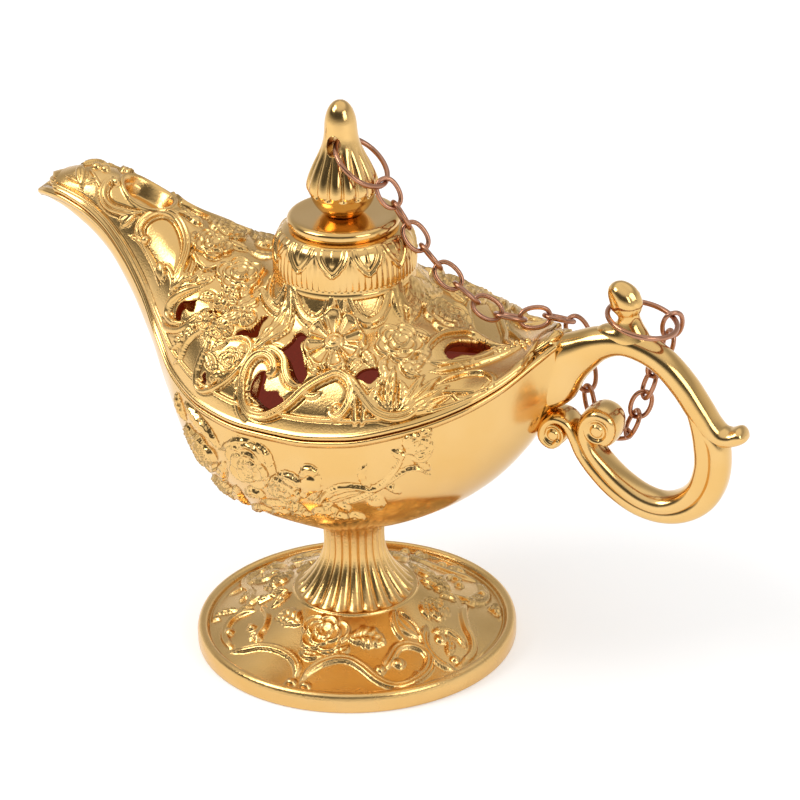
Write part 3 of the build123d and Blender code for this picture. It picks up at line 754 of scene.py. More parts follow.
# Outlines of the lid's openings, in pixels
PIERCINGS = (
    ((200, 298), (196, 301), (195, 306), (193, 311), (189, 311), (185, 309), (182, 313), (181, 318),
     (179, 320), (175, 318), (175, 312), (178, 305), (182, 301), (190, 300)),
    ((209, 313), (213, 311), (216, 310), (214, 315)),
    ((222, 340), (233, 336), (236, 332), (242, 329), (250, 329), (255, 324), (260, 319), (264, 315),
     (268, 317), (262, 324), (259, 332), (257, 337), (248, 337), (236, 337)),
    ((279, 350), (288, 343), (293, 337), (296, 333), (301, 332), (307, 336), (303, 340), (300, 344),
     (302, 354), (304, 364), (307, 374), (303, 382), (300, 384), (294, 378), (290, 366), (286, 356)),
    ((256, 375), (261, 371), (267, 372), (266, 379), (264, 386), (266, 391), (277, 391), (279, 395),
     (283, 400), (275, 407), (267, 411), (260, 407), (255, 401), (249, 395), (250, 386)),
    ((354, 376), (359, 371), (367, 368), (377, 369), (378, 376), (374, 381), (369, 384), (361, 380)),
    ((443, 350), (448, 343), (456, 340), (470, 340), (482, 342), (491, 348), (484, 351), (474, 355),
     (462, 355), (451, 359), (446, 355)),
    ((201, 376), (205, 372), (206, 378), (207, 383), (203, 383)),
)

# Scrolls, leaves and flowers of the lid's near side, traced in pixels. Ridges and leaves have width
# and height in mm, roses, daisies and beads have radius and height
LID_ORNAMENT = (
    # C ridge round the first opening, and the fold below it
    ridge(((204, 286), (192, 289), (180, 294), (171, 302), (168, 310), (169, 317), (174, 322), (184, 323)),
          1.5, 0.9, (0.2, 0.2)),
    ridge(((162, 318), (167, 328), (178, 330), (188, 325), (197, 319), (208, 317), (216, 319)), 1.5, 0.7),
    ridge(((215, 328), (205, 329), (196, 333), (188, 340), (183, 349), (180, 358), (174, 364)), 1.2, 0.6,
          (0.2, 0.3)),
    # Oval frame with a rose in it
    ridge(((212, 330), (206, 345), (200, 360), (196, 375), (197, 386), (203, 391), (213, 389), (225, 382),
           (238, 370), (247, 358), (252, 348), (249, 340), (240, 337), (228, 339), (218, 346)), 1.1, 0.8,
          (0.1, 0.2)),
    rose((230, 360), 2.5, 1.1, 0.5),
    leaf(((206, 352), (210, 362), (214, 372)), 2.0, 0.6),
    leaf(((243, 344), (240, 352), (236, 358)), 1.8, 0.6),
    leaf(((206, 386), (214, 378), (222, 370)), 2.0, 0.6),
    # Long acanthus leaf
    leaf(((292, 300), (288, 314), (279, 326), (266, 338), (252, 350)), 3.4, 1.2,
         lobes=5, fold=0.5, tip=0.45),
    ridge(((292, 300), (293, 316), (288, 329), (275, 338), (262, 346), (252, 351)), 0.8, 1.0),
    # Curl under the cap
    ridge(((275, 281), (270, 290), (269, 300), (275, 307), (283, 304), (291, 296)), 1.0, 0.9),
    # Border along the rim and rounded petals below the cap
    border(0.115, 0.8, 0.55),
    petal(((296, 302), (299, 314), (306, 323), (317, 327), (329, 323), (336, 313), (338, 302))),
    petal(((346, 302), (349, 313), (357, 322), (368, 326), (380, 321), (387, 311), (389, 300))),
    petal(((397, 296), (400, 307), (407, 311), (412, 304), (411, 291))),
    petal(((262, 293), (268, 306), (279, 315), (289, 313), (292, 303))),
    leaf(((342, 298), (342, 308), (342, 320)), 1.8, 0.9, veins=0, fold=0.5),
    leaf(((393, 296), (394, 304), (397, 314)), 1.6, 0.9, veins=0, fold=0.5),
    leaf(((295, 300), (294, 308), (293, 316)), 1.6, 0.9, veins=0, fold=0.5),
    # Large S scroll
    ridge(((270, 378), (275, 369), (273, 360), (266, 355), (257, 356), (249, 364), (244, 376), (243, 390),
           (244, 402), (249, 411), (257, 415), (267, 415), (279, 410), (291, 402), (303, 391), (315, 383),
           (327, 377), (337, 374), (346, 378), (352, 388), (350, 400), (345, 410), (338, 416), (331, 414),
           (330, 408)), 1.8, 1.35, (0.04, 0.04), groove=0.4),
    bead((337, 408), 0.9, 1.0),
    bead((269, 374), 0.7, 0.9),
    ridge(((258, 350), (268, 349), (278, 352), (285, 360), (286, 371), (289, 380), (296, 386), (304, 385)),
          1.8, 1.3, (0.2, 0.2), groove=0.3),
    ridge(((337, 374), (350, 380), (358, 390), (366, 401), (375, 411), (386, 416), (397, 417), (408, 414),
           (420, 406), (432, 399), (444, 392)), 2.0, 1.3, (0.1, 0.2), groove=0.4),
    ridge(((350, 386), (354, 398), (355, 412), (355, 426)), 1.2, 0.8, (0.2, 0.1)),
    ridge(((361, 394), (364, 408), (362, 426)), 1.1, 0.8, (0.2, 0.1)),
    ridge(((237, 388), (236, 402), (240, 416), (248, 424)), 0.9, 0.5),
    # Big flower below the cap
    daisy((335, 344), 5.9, 1.3, 8, 0.05, 0.31),
    leaf(((343, 324), (343, 313), (343, 303)), 2.2, 0.8, fold=0.4),
    leaf(((320, 368), (328, 362), (340, 358), (352, 358)), 2.2, 0.8),
    bead((324, 369), 0.7, 0.9),
    bead((344, 369), 0.6, 0.8),
    leaf(((310, 356), (312, 366), (318, 374)), 2.0, 0.8),
    leaf(((362, 350), (370, 360), (374, 368)), 2.2, 0.9),
    leaf(((350, 372), (356, 364), (364, 358)), 1.6, 0.8),
    # Roses
    rose((399, 343), 4.7, 1.5, 0.3),
    rose((447, 318), 4.6, 1.4, 1.1),
    rose((213, 245), 3.9, 1.5, 0.2),
    rose((240, 275), 4.6, 1.5, 0.8),
    leaf(((388, 356), (382, 366), (384, 376), (378, 386)), 2.2, 0.9),
    leaf(((400, 362), (412, 366), (424, 362)), 2.6, 0.9),
    leaf(((400, 356), (410, 372), (420, 376)), 2.4, 0.9),
    # Tulip bud below the rose
    leaf(((392, 413), (389, 398), (391, 382), (394, 366)), 2.4, 1.2, fold=0.55),
    leaf(((390, 413), (380, 406), (374, 396), (380, 386)), 2.4, 0.9),
    leaf(((396, 413), (403, 404), (404, 392), (400, 380)), 2.2, 0.9),
    # Leaf fan
    fan((402, 411), ((424, 375), (440, 377), (449, 386), (451, 396), (438, 405)), 2.0, 1.0),
    # Oval frame round the right opening
    ridge(((428, 362), (425, 352), (431, 342), (441, 335), (455, 332), (470, 333), (486, 336), (500, 340),
           (514, 342)), 1.3, 0.9, (0.15, 0.2)),
    ridge(((428, 361), (441, 364), (456, 363), (470, 361), (486, 357), (500, 350), (514, 343)), 1.3, 0.9),
    ridge(((430, 372), (446, 370), (462, 367), (480, 363), (496, 358), (512, 351), (524, 345)), 1.2, 0.8,
          groove=0.4),
    bead_row((462, 368), (524, 346), 3, 12, 0.55, 0.75),
    # Scroll and bud at the lower right
    ridge(((437, 384), (450, 378), (466, 374), (482, 373), (491, 377), (493, 384), (486, 390), (474, 394)),
          1.0, 0.8, (0.2, 0.2)),
    leaf(((478, 393), (486, 388), (494, 380)), 1.6, 0.8),
    ridge(((452, 392), (458, 400), (470, 398), (480, 392)), 0.8, 0.6),
    # Leaves and vines behind the chain
    leaf(((404, 272), (412, 288), (412, 302), (404, 312)), 3.0, 0.9, fold=0.4),
    leaf(((392, 296), (397, 310), (404, 322)), 2.2, 0.9),
    leaf(((420, 300), (414, 312), (410, 324)), 2.4, 0.9),
    leaf(((418, 290), (430, 298), (440, 300)), 2.2, 0.8),
    ridge(((420, 276), (430, 286), (440, 296), (452, 302)), 0.9, 0.7),
    leaf(((476, 318), (488, 326), (500, 334)), 2.2, 0.8),
    leaf(((474, 328), (486, 334), (502, 338)), 2.0, 0.8),
    # Feathers and vines between the left roses
    leaf(((176, 212), (190, 216), (204, 226)), 2.0, 0.9, fold=0.4),
    ridge(((192, 250), (197, 262), (206, 269), (216, 267), (226, 262)), 0.9, 0.8),
    ridge(((206, 269), (198, 276), (188, 282)), 0.9, 0.8),
    leaf(((196, 283), (206, 278), (216, 275)), 2.2, 0.8),
    leaf(((222, 296), (230, 290), (238, 290)), 2.4, 0.9),
    leaf(((243, 300), (246, 292), (252, 286)), 2.4, 0.9),
    leaf(((200, 300), (208, 296), (216, 300)), 2.4, 0.9),
    leaf(((228, 310), (240, 306), (252, 300), (262, 292)), 3.0, 0.9, lobes=4),
    leaf(((216, 322), (230, 318), (246, 312)), 3.0, 0.9, lobes=4),
    bead((205, 210), 1.2, 1.0),
    daisy((226, 303), 2.5, 1.1, 6, 0.3),
    daisy((207, 321), 2.2, 1.0, 6, 0.1),
    daisy((245, 316), 1.9, 0.9, 5, 0.4),
    daisy((221, 329), 2.1, 0.9, 6, 0.2),
    leaf(((204, 338), (210, 330), (214, 322)), 2.0, 0.8),
    leaf(((228, 342), (220, 344), (213, 350)), 1.8, 0.7),
    leaf(((186, 330), (180, 340), (172, 350)), 2.2, 0.8, lobes=3),
    leaf(((196, 322), (190, 332), (187, 344)), 2.0, 0.8),
    leaf(((262, 268), (256, 276), (248, 282)), 2.2, 0.8),
    leaf(((196, 232), (190, 240), (190, 252)), 2.0, 0.8),
    leaf(((230, 236), (240, 240), (250, 248)), 2.2, 0.8),
    leaf(((250, 250), (262, 254), (272, 262)), 2.2, 0.8),
    ridge(((190, 252), (196, 262), (192, 274), (183, 282)), 0.8, 0.7),
    # Fields right of the cap
    leaf(((430, 338), (420, 334), (410, 330)), 2.2, 0.8),
    leaf(((428, 300), (434, 292), (446, 290)), 2.0, 0.8),
    leaf(((466, 300), (476, 306), (488, 314)), 2.2, 0.8, lobes=3),
    daisy((427, 288), 2.0, 0.9, 5, 0.2),
    leaf(((428, 345), (424, 356), (416, 364)), 2.2, 0.8),
    leaf(((300, 392), (312, 396), (322, 392)), 1.4, 0.5, veins=0),
    ridge(((404, 408), (420, 398), (440, 392), (462, 392), (484, 396)), 0.9, 0.6, (0.1, 0.2)),
    leaf(((404, 410), (420, 409), (436, 412)), 1.8, 0.8, fold=0.4),
    # Spout: cartouche, drop, bud and scroll
    ridge(((143, 241), (139, 230), (145, 219), (157, 213), (169, 214), (178, 221), (184, 232), (187, 245),
           (185, 258), (181, 270), (175, 284), (170, 294)), 1.9, 1.1, (0.05, 0.15), groove=0.45),
    bead((146, 240), 1.0, 1.2),
    ridge(((129, 236), (139, 240), (147, 252), (156, 270), (160, 288)), 0.9, 0.6, (0.2, 0.2)),
    ridge(((165, 264), (171, 271), (174, 281), (172, 292)), 0.9, 0.7),
    leaf(((172, 293), (178, 281), (187, 266)), 1.3, 0.9, veins=0, fold=0.2),
    leaf(((176, 289), (184, 277), (190, 272)), 1.2, 0.8, veins=0, fold=0.2),
    leaf(((163, 283), (162, 273), (160, 262)), 2.2, 1.1, veins=0, fold=0.0, tip=0.4),
    ridge(((117, 181), (110, 181), (104, 189), (104, 199), (110, 207), (120, 211), (132, 213), (146, 212)),
          1.7, 1.1, (0.05, 0.3), groove=0.45),
    bead((117, 183), 0.9, 1.1),
    ridge(((90, 170), (96, 178), (101, 190), (101, 202)), 0.7, 0.4),
    leaf(((82, 190), (82, 180), (81, 167)), 2.2, 1.0, veins=0, fold=0.3, tip=0.4),
    leaf(((82, 184), (74, 178), (66, 176)), 1.3, 0.6, veins=0),
    leaf(((84, 184), (92, 180), (97, 182)), 1.3, 0.6, veins=0),
    leaf(((120, 228), (128, 220), (137, 212)), 1.6, 0.8, veins=0),
    leaf(((118, 221), (126, 216), (132, 211)), 1.4, 0.7, veins=0),
    bead((98, 161), 1.0, 0.9),
    bead((109, 160), 1.0, 0.9),
)


def make_lid():
    """The pierced cover, with relief, a flare up to the cap and an oval cup in the spout."""
    traced = Traced(on_lid, LID_SPAN)
    x, q = even_grid(on_lid, LID_SPAN, *LID_GRID)
    holes = cut_holes(on_lid, traced, x, q, PIERCINGS, SNAP)
    relief = Relief(on_lid, traced, x, q)
    paint(relief, LID_ORNAMENT)
    radius = np.hypot(relief.points[..., 0], relief.points[..., 1])
    flare = COLLAR_FLARE * np.clip((COLLAR_REACH - radius) / COLLAR_WIDTH, 0, 1.1) ** 2
    cup = relief.dish(CUP_MIDDLE, CUP_LONG, CUP_WIDE, CUP_DEPTH)
    in_cup = np.abs(cup) > 0.02 * CUP_DEPTH
    relief.height = np.where(in_cup, 0, relief.height) + flare - cup
    inner = on_lid(x, q, LID_WALL) - relief.normals * cup[..., None]
    far_holes = holes & (x[:-1, :-1] < FAR_OPEN_END)
    closed_shell("lid_cover", relief.skin(), inner, carved, "lid", ("lid",), holes, far_holes)


make_lid()

# Middles of the leaves under the curve of the hull
KEEL_LEAVES = ((262, 509), (282, 513), (302, 514), (322, 514), (338, 517), (356, 518))
# Roses and a flowering vine on the bowl's near side, traced in pixels
BOWL_ORNAMENT = (
    rose((203, 452), 4.2, 1.5, 0.4),
    rose((250, 465), 5.2, 1.7, 0.1),
    rose((284, 490), 3.4, 1.4, 0.9),
    rose((226, 487), 3.2, 1.3, 1.4),
    rose((192, 436), 2.6, 1.2, 0.7),
    # Frond along the rim on the left
    leaf(((186, 402), (198, 420), (210, 434), (220, 449)), 2.4, 1.1, veins=8, fold=0.3, tip=0.6),
    leaf(((177, 392), (180, 406), (186, 420)), 2.0, 1.0, veins=5, fold=0.3),
    leaf(((222, 449), (236, 443), (250, 441)), 2.2, 1.0, veins=4),
    leaf(((256, 443), (264, 454), (271, 470)), 2.2, 1.1, veins=6, fold=0.4),
    leaf(((250, 443), (258, 452), (262, 462)), 1.6, 1.0, veins=4),
    leaf(((278, 474), (290, 478), (303, 487)), 2.6, 1.2, lobes=5, veins=6),
    leaf(((224, 462), (222, 474), (226, 482)), 2.2, 1.0, veins=4),
    leaf(((246, 492), (256, 492), (266, 498)), 2.4, 1.1, veins=5),
    leaf(((236, 486), (240, 496), (250, 504)), 2.4, 1.0, veins=5),
    leaf(((262, 500), (276, 504), (290, 504)), 2.2, 0.9, veins=5),
    # Bud with a cupped leaf
    leaf(((300, 478), (308, 470), (320, 474)), 2.0, 1.1, veins=5),
    bead((310, 485), 2.0, 0.9, 1.2, 0.6),
    ridge(((302, 476), (312, 472), (319, 482), (318, 494), (308, 500)), 0.7, 0.7),
    leaf(((300, 498), (306, 490), (304, 482)), 1.8, 1.0, veins=3),
    # Vine
    ridge(((318, 506), (324, 496), (334, 489), (346, 486), (360, 487), (372, 489), (383, 483), (392, 474),
           (399, 464), (402, 456), (408, 452)), 0.85, 0.8, (0.1, 0.05)),
    ridge(((342, 503), (356, 499), (370, 493), (384, 485), (398, 475), (409, 469), (420, 469), (430, 475)),
          0.8, 0.7, (0.1, 0.15)),
    leaf(((322, 502), (336, 494), (352, 490), (368, 490)), 2.2, 0.9, veins=4, fold=0.5),
    leaf(((372, 488), (364, 480), (362, 472), (368, 463)), 1.6, 0.9, veins=4),
    leaf(((384, 486), (392, 488), (400, 493)), 1.4, 0.8, veins=3),
    leaf(((392, 450), (398, 454), (405, 457)), 1.7, 0.9, veins=3),
    leaf(((414, 461), (422, 463), (430, 470)), 1.6, 0.9, veins=3),
    # Rose bud at the vine's end
    rose((419, 445), 2.7, 1.3, 0.9),
    leaf(((408, 452), (407, 440), (414, 432)), 1.7, 1.1, veins=3),
    leaf(((412, 460), (424, 456), (432, 446)), 1.8, 1.0, veins=3),
    leaf(((418, 436), (426, 430), (432, 434)), 1.6, 1.1, veins=3),
    bead((376, 503), 1.5, 0.8),
    ridge(((370, 502), (374, 496), (380, 498), (383, 505), (378, 510)), 0.6, 0.6),
    leaf(((338, 504), (346, 507), (350, 512)), 1.5, 0.8, veins=3),
    bead_row((316, 500), (329.5, 504.5), 0, 4, 0.5, 0.8),
    # Leaves and small flowers under the curve of the hull
    *(leaf(((u - 9, v - 1), (u, v - 2 - k % 2), (u + 10, v + 1)), 2.0, 0.9, veins=4)
      for k, (u, v) in enumerate(KEEL_LEAVES)),
    daisy((296, 507), 1.7, 0.9, 5, 0.2),
    daisy((330, 511), 1.5, 0.8, 5, 0.5),
)


def make_bowl():
    """The bowl, smooth inside, with its relief outside."""
    traced = Traced(on_bowl, BOWL_SPAN)
    x, q = even_grid(on_bowl, BOWL_SPAN, *BOWL_GRID)
    relief = Relief(on_bowl, traced, x, q)
    paint(relief, BOWL_ORNAMENT)
    inner = on_bowl(x, q, BOWL_WALL)
    closed_shell("bowl_shell", relief.skin(), inner, polished, "base", ("bowl",))


make_bowl()


# Rim bands of the lid and the bowl

def full_width(x, width):
    """The hull's half width, unchanged."""
    return width


def rim_band(name, span, profile, body, shape):
    """A moulding along the rim: a closed profile of (out, up) swept round the hull's edge."""
    ease = 0.5 - 0.5 * np.cos(np.linspace(0, math.pi, BAND_STEPS))
    x = span[0] + (span[1] - span[0]) * ease
    width, rim, _, _ = hull(x)
    near = np.stack([x, -shape(x, width), rim], 1)
    far = near[::-1] * (1, -1, 1)
    share = np.linspace(0, 1, BAND_END_STEPS)[1:-1, None]
    loop = np.vstack([
        near, near[-1] + (far[0] - near[-1]) * share, far, far[-1] + (near[0] - far[-1]) * share,
    ])
    tangent = np.roll(loop, -1, 0) - np.roll(loop, 1, 0)
    tangent[:, 2] = 0
    tangent /= np.linalg.norm(tangent, axis=1)[:, None]
    out = np.stack([tangent[:, 1], -tangent[:, 0], np.zeros(len(loop))], 1)
    profile = np.array(profile)
    verts = loop[:, None] + out[:, None] * profile[:, :1]
    verts[..., 2] += profile[:, 1]
    faces = grid_faces(len(loop), len(profile), wrap_u=True, wrap_v=True)
    make_piece(name, verts, faces, polished, body)


# Profiles as (out, up) from the rim line in mm
LID_BAND = (
    (-1.2, 0.3), (0.2, 0.3), (0.42, 0.45), (0.5, 0.75), (0.45, 1.05), (0.3, 1.2), (0.15, 1.3),
    (0.05, 1.5), (-0.1, 1.62), (-0.4, 1.7), (-0.8, 1.65), (-1.2, 1.5),
)
BOWL_BAND = (
    (-1.2, 0.0), (0.15, 0.0), (0.4, -0.12), (0.5, -0.4), (0.45, -0.75), (0.25, -1.0), (0.1, -1.15),
    (0.0, -1.4), (-1.2, -1.4),
)
BAND_STEPS, BAND_END_STEPS = 160, 7
rim_band("lid_rim_band", LID_SPAN, LID_BAND, "lid", lid_width)
rim_band("bowl_rim_band", BOWL_SPAN, BOWL_BAND, "base", full_width)


# Foot: coned disc with relief, rounded edge, flared and fluted stem

# Profiles as (radius, height) in mm, from the stem out, round the edge and back inside
FOOT_DISC = np.array((
    (12.3, 10.35), (14, 9.6), (17, 8.0), (20.7, 6.0), (24, 4.6), (27, 3.4), (29.0, 2.75),
))
FOOT_EDGE = (
    (29.0, 2.75), (29.2, 2.9), (29.35, 3.4), (29.9, 3.9), (30.6, 3.95), (31.2, 3.5), (31.5, 2.6),
)
FOOT_INSIDE = (
    (31.5, 0.6), (31.4, 0.2), (31.1, 0.0), (29.3, 0.0), (29.2, 0.3), (29.2, 1.4), (24, 3.0), (17, 6.2),
    (12.1, 7.6), (7.0, 7.2), (6.4, 5.7), (4.6, 5.6), (2.3, 5.7), (2.3, 20.0), (2.3, 27.3),
)
# Radius and height in mm, and the depth of the flutes as a share of FLUTE_DEPTH
STEM = (
    (6.5, 27.3, 0.0), (6.5, 26.6, 0.1), (6.3, 25.6, 0.6), (6.05, 24.0, 1.0), (5.95, 21.6, 1.0),
    (6.15, 19.2, 1.0), (6.9, 16.9, 1.0), (8.3, 14.4, 1.0), (10.2, 12.0, 1.0), (11.3, 10.95, 0.9),
    (11.6, 10.7, 0.2), (11.9, 10.9, 0.0), (12.15, 10.75, 0.0), (12.3, 10.35, 0.0),
)
STEM_STEPS, EDGE_STEPS = 64, 18
FLUTES, FLUTE_DEPTH = 22, 0.115
FOOT_GRID, FOOT_TRACED_GRID = (641, 66), (900, 120)
# Share of the disc at each edge over which its relief fades out
FADE = 0.05


def on_foot(turn, q):
    """Points of the coned disc: the angle in radians, q from 0 at the stem to 1 at the edge."""
    radius = FOOT_DISC[0, 0] + (FOOT_DISC[-1, 0] - FOOT_DISC[0, 0]) * np.asarray(q, float)
    return turned(turn, radius, smooth(radius, FOOT_DISC[:, 0], FOOT_DISC[:, 1]))


def below_foot(turn):
    """A point under the disc, which tells its upper side from its lower one."""
    return np.stack([0 * turn, 0 * turn, 0 * turn - 40], -1)


# Roses, leaves and scrolls of the foot's front, traced in pixels
FOOT_ORNAMENT = (
    rose((325, 632), 5.0, 1.3, 0.3),
    leaf(((301, 625), (288, 616), (275, 618)), 4.4, 0.9, lobes=4, veins=5, fold=0.3),
    leaf(((349, 640), (366, 637), (386, 643)), 5.2, 1.0, lobes=4, veins=6, fold=0.3),
    leaf(((300, 652), (310, 656), (322, 656)), 2.2, 0.9, veins=4),
    leaf(((332, 652), (342, 652), (350, 646)), 2.0, 0.9, veins=4),
    leaf(((396, 616), (404, 626), (418, 638)), 3.2, 0.7, veins=0, fold=0.2),
    ridge(((393, 602), (393, 616), (396, 630), (404, 640), (414, 646)), 1.3, 0.9, groove=0.3),
    ridge(((398, 611), (410, 620), (419, 632), (420, 642)), 0.7, 0.8),
    # S scroll along the front
    ridge(((301, 682), (308, 673), (320, 664), (336, 659), (350, 660), (362, 667), (374, 677), (388, 685),
           (402, 686), (416, 680), (427, 670), (429, 658), (421, 649), (408, 645), (397, 648), (391, 657),
           (386, 666), (380, 671)), 1.9, 1.0, (0.1, 0.05), groove=0.45),
    bead((380, 671), 1.1, 1.1),
    bead((399, 664), 1.2, 1.0),
    bead((291, 683), 1.1, 1.0),
    bead((305, 687), 1.1, 1.0),
    bead((418, 675), 0.9, 0.8),
    # Left field and scrolls
    ridge(((230, 653), (245, 650), (262, 647), (280, 650), (293, 658), (298, 668), (295, 678)),
          1.7, 0.9, groove=0.4),
    ridge(((233, 650), (226, 640), (226, 630), (233, 620), (245, 613), (256, 611)), 1.6, 0.9, groove=0.4),
    ridge(((262, 606), (268, 616), (266, 627), (260, 635), (256, 644)), 1.1, 0.9),
    bead((252, 628), 1.0, 0.9),
    bead((230, 633), 1.0, 1.0),
    leaf(((236, 620), (244, 610), (254, 606)), 1.8, 0.9, veins=4),
    leaf(((240, 603), (247, 596), (256, 590)), 2.0, 0.9, veins=4),
    leaf(((215, 615), (226, 612), (240, 610)), 1.6, 0.8, veins=3),
    leaf(((250, 641), (254, 636), (262, 640)), 1.8, 0.9, veins=3),
    leaf(((270, 594), (280, 591), (288, 590)), 1.8, 0.8, veins=3),
    leaf(((272, 608), (280, 600), (292, 592)), 2.0, 0.9, veins=4),
    ridge(((248, 606), (262, 598), (276, 596)), 0.8, 0.7),
    ridge(((226, 597), (244, 588), (262, 576), (280, 568)), 1.0, 0.6),
    leaf(((272, 586), (280, 582), (288, 577)), 2.0, 1.0, veins=3),
    bead((273, 563), 1.3, 0.9),
    rose((300, 562), 2.2, 0.9),
    leaf(((296, 573), (306, 566), (316, 560)), 1.8, 0.8),
    # Right side
    rose((436, 609), 3.0, 1.1, 0.5),
    rose((437, 585), 2.4, 1.1, 0.2),
    leaf(((440, 596), (448, 596), (456, 602)), 2.0, 0.9),
    leaf(((424, 600), (424, 610), (430, 620)), 1.8, 0.9),
    ridge(((466, 603), (463, 614), (466, 628), (472, 640), (473, 652), (466, 661), (456, 668)),
          1.6, 0.9, groove=0.4),
    ridge(((426, 626), (424, 640), (430, 654), (442, 665), (456, 671)), 1.7, 1.0, groove=0.4),
    ridge(((432, 632), (446, 631), (458, 638), (466, 648)), 1.4, 0.9, groove=0.4),
    bead((441, 640), 1.2, 1.0),
    bead((455, 660), 0.9, 0.9),
    leaf(((446, 636), (450, 646), (448, 656)), 1.8, 0.8),
    ridge(((478, 662), (490, 652), (499, 638), (503, 622), (498, 612)), 1.4, 0.8, groove=0.4),
    rose((498, 611), 2.0, 1.0),
    leaf(((470, 604), (476, 598), (484, 598)), 1.8, 0.9),
    leaf(((446, 570), (456, 570), (466, 574)), 2.0, 0.9),
    bead((442, 566), 1.1, 0.9),
    ridge(((410, 566), (420, 574), (430, 578), (446, 578)), 0.8, 0.7),
    leaf(((416, 558), (428, 556), (440, 560)), 2.0, 0.8),
)


def disc_skin(turn, q):
    """The disc's upper side with its relief. The back repeats the front, turned half way round."""
    traced = Traced(on_foot, (-math.pi, math.pi), below_foot, FOOT_TRACED_GRID)
    relief = Relief(on_foot, traced, turn, q)
    paint(relief, FOOT_ORNAMENT)
    front = (turn > math.radians(YAW - 180)) & (turn < math.radians(YAW))
    front, height = front[:-1], relief.height[:-1]
    back_height = np.roll(np.where(front, height, 0), len(height) // 2, axis=0)
    height = np.maximum(height, np.where(front, 0, back_height))
    fade = np.clip(np.minimum(q, 1 - q) / FADE, 0, 1)[:-1]
    return relief.points[:-1] + relief.normals[:-1] * (height * fade)[..., None]


def make_foot():
    """The whole foot: stem, disc, edge and hollow underside, as one closed skin."""
    angles, shares = np.linspace(-math.pi, math.pi, FOOT_GRID[0]), np.linspace(0, 1, FOOT_GRID[1])
    turn, q = np.meshgrid(angles, shares, indexing="ij")
    around = angles[:-1, None]
    stem = spline(STEM, STEM_STEPS)
    lobe = np.abs(np.cos(around * FLUTES / 2)) ** 0.55
    stem_radius = stem[:, 0] * (1 - FLUTE_DEPTH * stem[:, 2] * (1 - lobe))
    inside = np.vstack([spline(FOOT_EDGE, EDGE_STEPS)[1:], FOOT_INSIDE])
    skin = np.concatenate([
        turned(around, stem_radius, stem[:, 1])[:, :-1],
        disc_skin(turn, q),
        turned(around, inside[:, 0], inside[:, 1]),
    ], axis=1)
    faces = grid_faces(*skin.shape[:2], wrap_u=True, wrap_v=True, flip=True)
    make_piece("foot_disc", skin, faces, carved, "base", ("foot",))


make_foot()


# Cap with lotus petals, plate on it, neck under it and ribbed finial

# Profiles as (radius, height) in mm
CAP = (
    (3.0, 87.9), (9.0, 87.9), (10.0, 87.8), (11.3, 87.5), (12.4, 86.7), (13.1, 85.4), (13.5, 83.6),
    (13.65, 81.8), (13.6, 80.2), (13.5, 79.3), (13.6, 79.0), (13.7, 78.5), (13.6, 78.0), (13.1, 77.6),
    (12.5, 77.5), (11.6, 77.5),
)
PLATE = (
    (3.0, 90.1), (6.0, 90.1), (9.4, 90.12), (10.1, 90.0), (10.55, 89.6), (10.68, 89.0), (10.55, 88.4),
    (10.1, 88.0), (9.5, 87.85), (3.0, 87.85),
)
NECK = (
    (11.4, 78.4), (12.6, 78.4), (12.9, 78.1), (13.0, 77.4), (13.0, 75.0), (12.0, 74.0),
)
FINIAL = (
    (0.0, 90.1), (3.0, 90.1), (3.7, 90.4), (4.6, 91.2), (5.35, 92.2), (5.85, 93.2), (6.15, 94.1),
    (6.5, 94.7), (6.8, 95.5), (6.75, 96.4), (6.4, 97.7), (5.8, 99.2), (5.1, 100.7), (4.4, 102.1),
    (3.75, 103.6), (3.35, 105.0), (3.15, 106.4), (3.05, 107.8), (2.85, 109.2), (2.4, 110.6), (1.8, 111.6),
    (1.0, 112.3), (0.0, 112.6),
)
PETALS, BAND_RIBS, FINIAL_RIBS = 12, 72, 14
# Heights in mm of the petals' tops and tips, and of the lower ends of their band and its ribs
PETAL_TOP, PETAL_LOW, BAND_LOW, RIBS_LOW = 87.1, 82.3, 79.6, 79.5
# Heights up the finial in mm, and the depth of its ribs there
RIB_HEIGHTS = (94.4, 94.8, 95.6, 97.2, 100.0, 102.0, 104.0)
RIB_DEPTHS = (0, 0.75, 0.95, 0.95, 0.75, 0.4, 0)
# The ring's hole through the finial, a little taller than wide
HOLE_HEIGHT, HOLE_RADIUS, HOLE_STRETCH, HOLE_REACH, HOLE_SIDES = 104.2, 1.5, 1.25, 6, 40


def turned_piece(name, profile, steps, sides, shape, material, replaces=()):
    """A turned piece of the lid, whose radius a function of angle and height changes."""
    radius, z = spline(profile, steps).T
    turn = np.linspace(0, 2 * math.pi, sides, endpoint=False)[:, None]
    points = turned(turn, radius + shape(turn, z) * (radius > 0.5), z)
    faces = grid_faces(sides, steps, wrap_u=True)
    return make_piece(name, points, faces, material, "lid", replaces)


def plain(turn, z):
    """No change of radius."""
    return 0 * turn * z


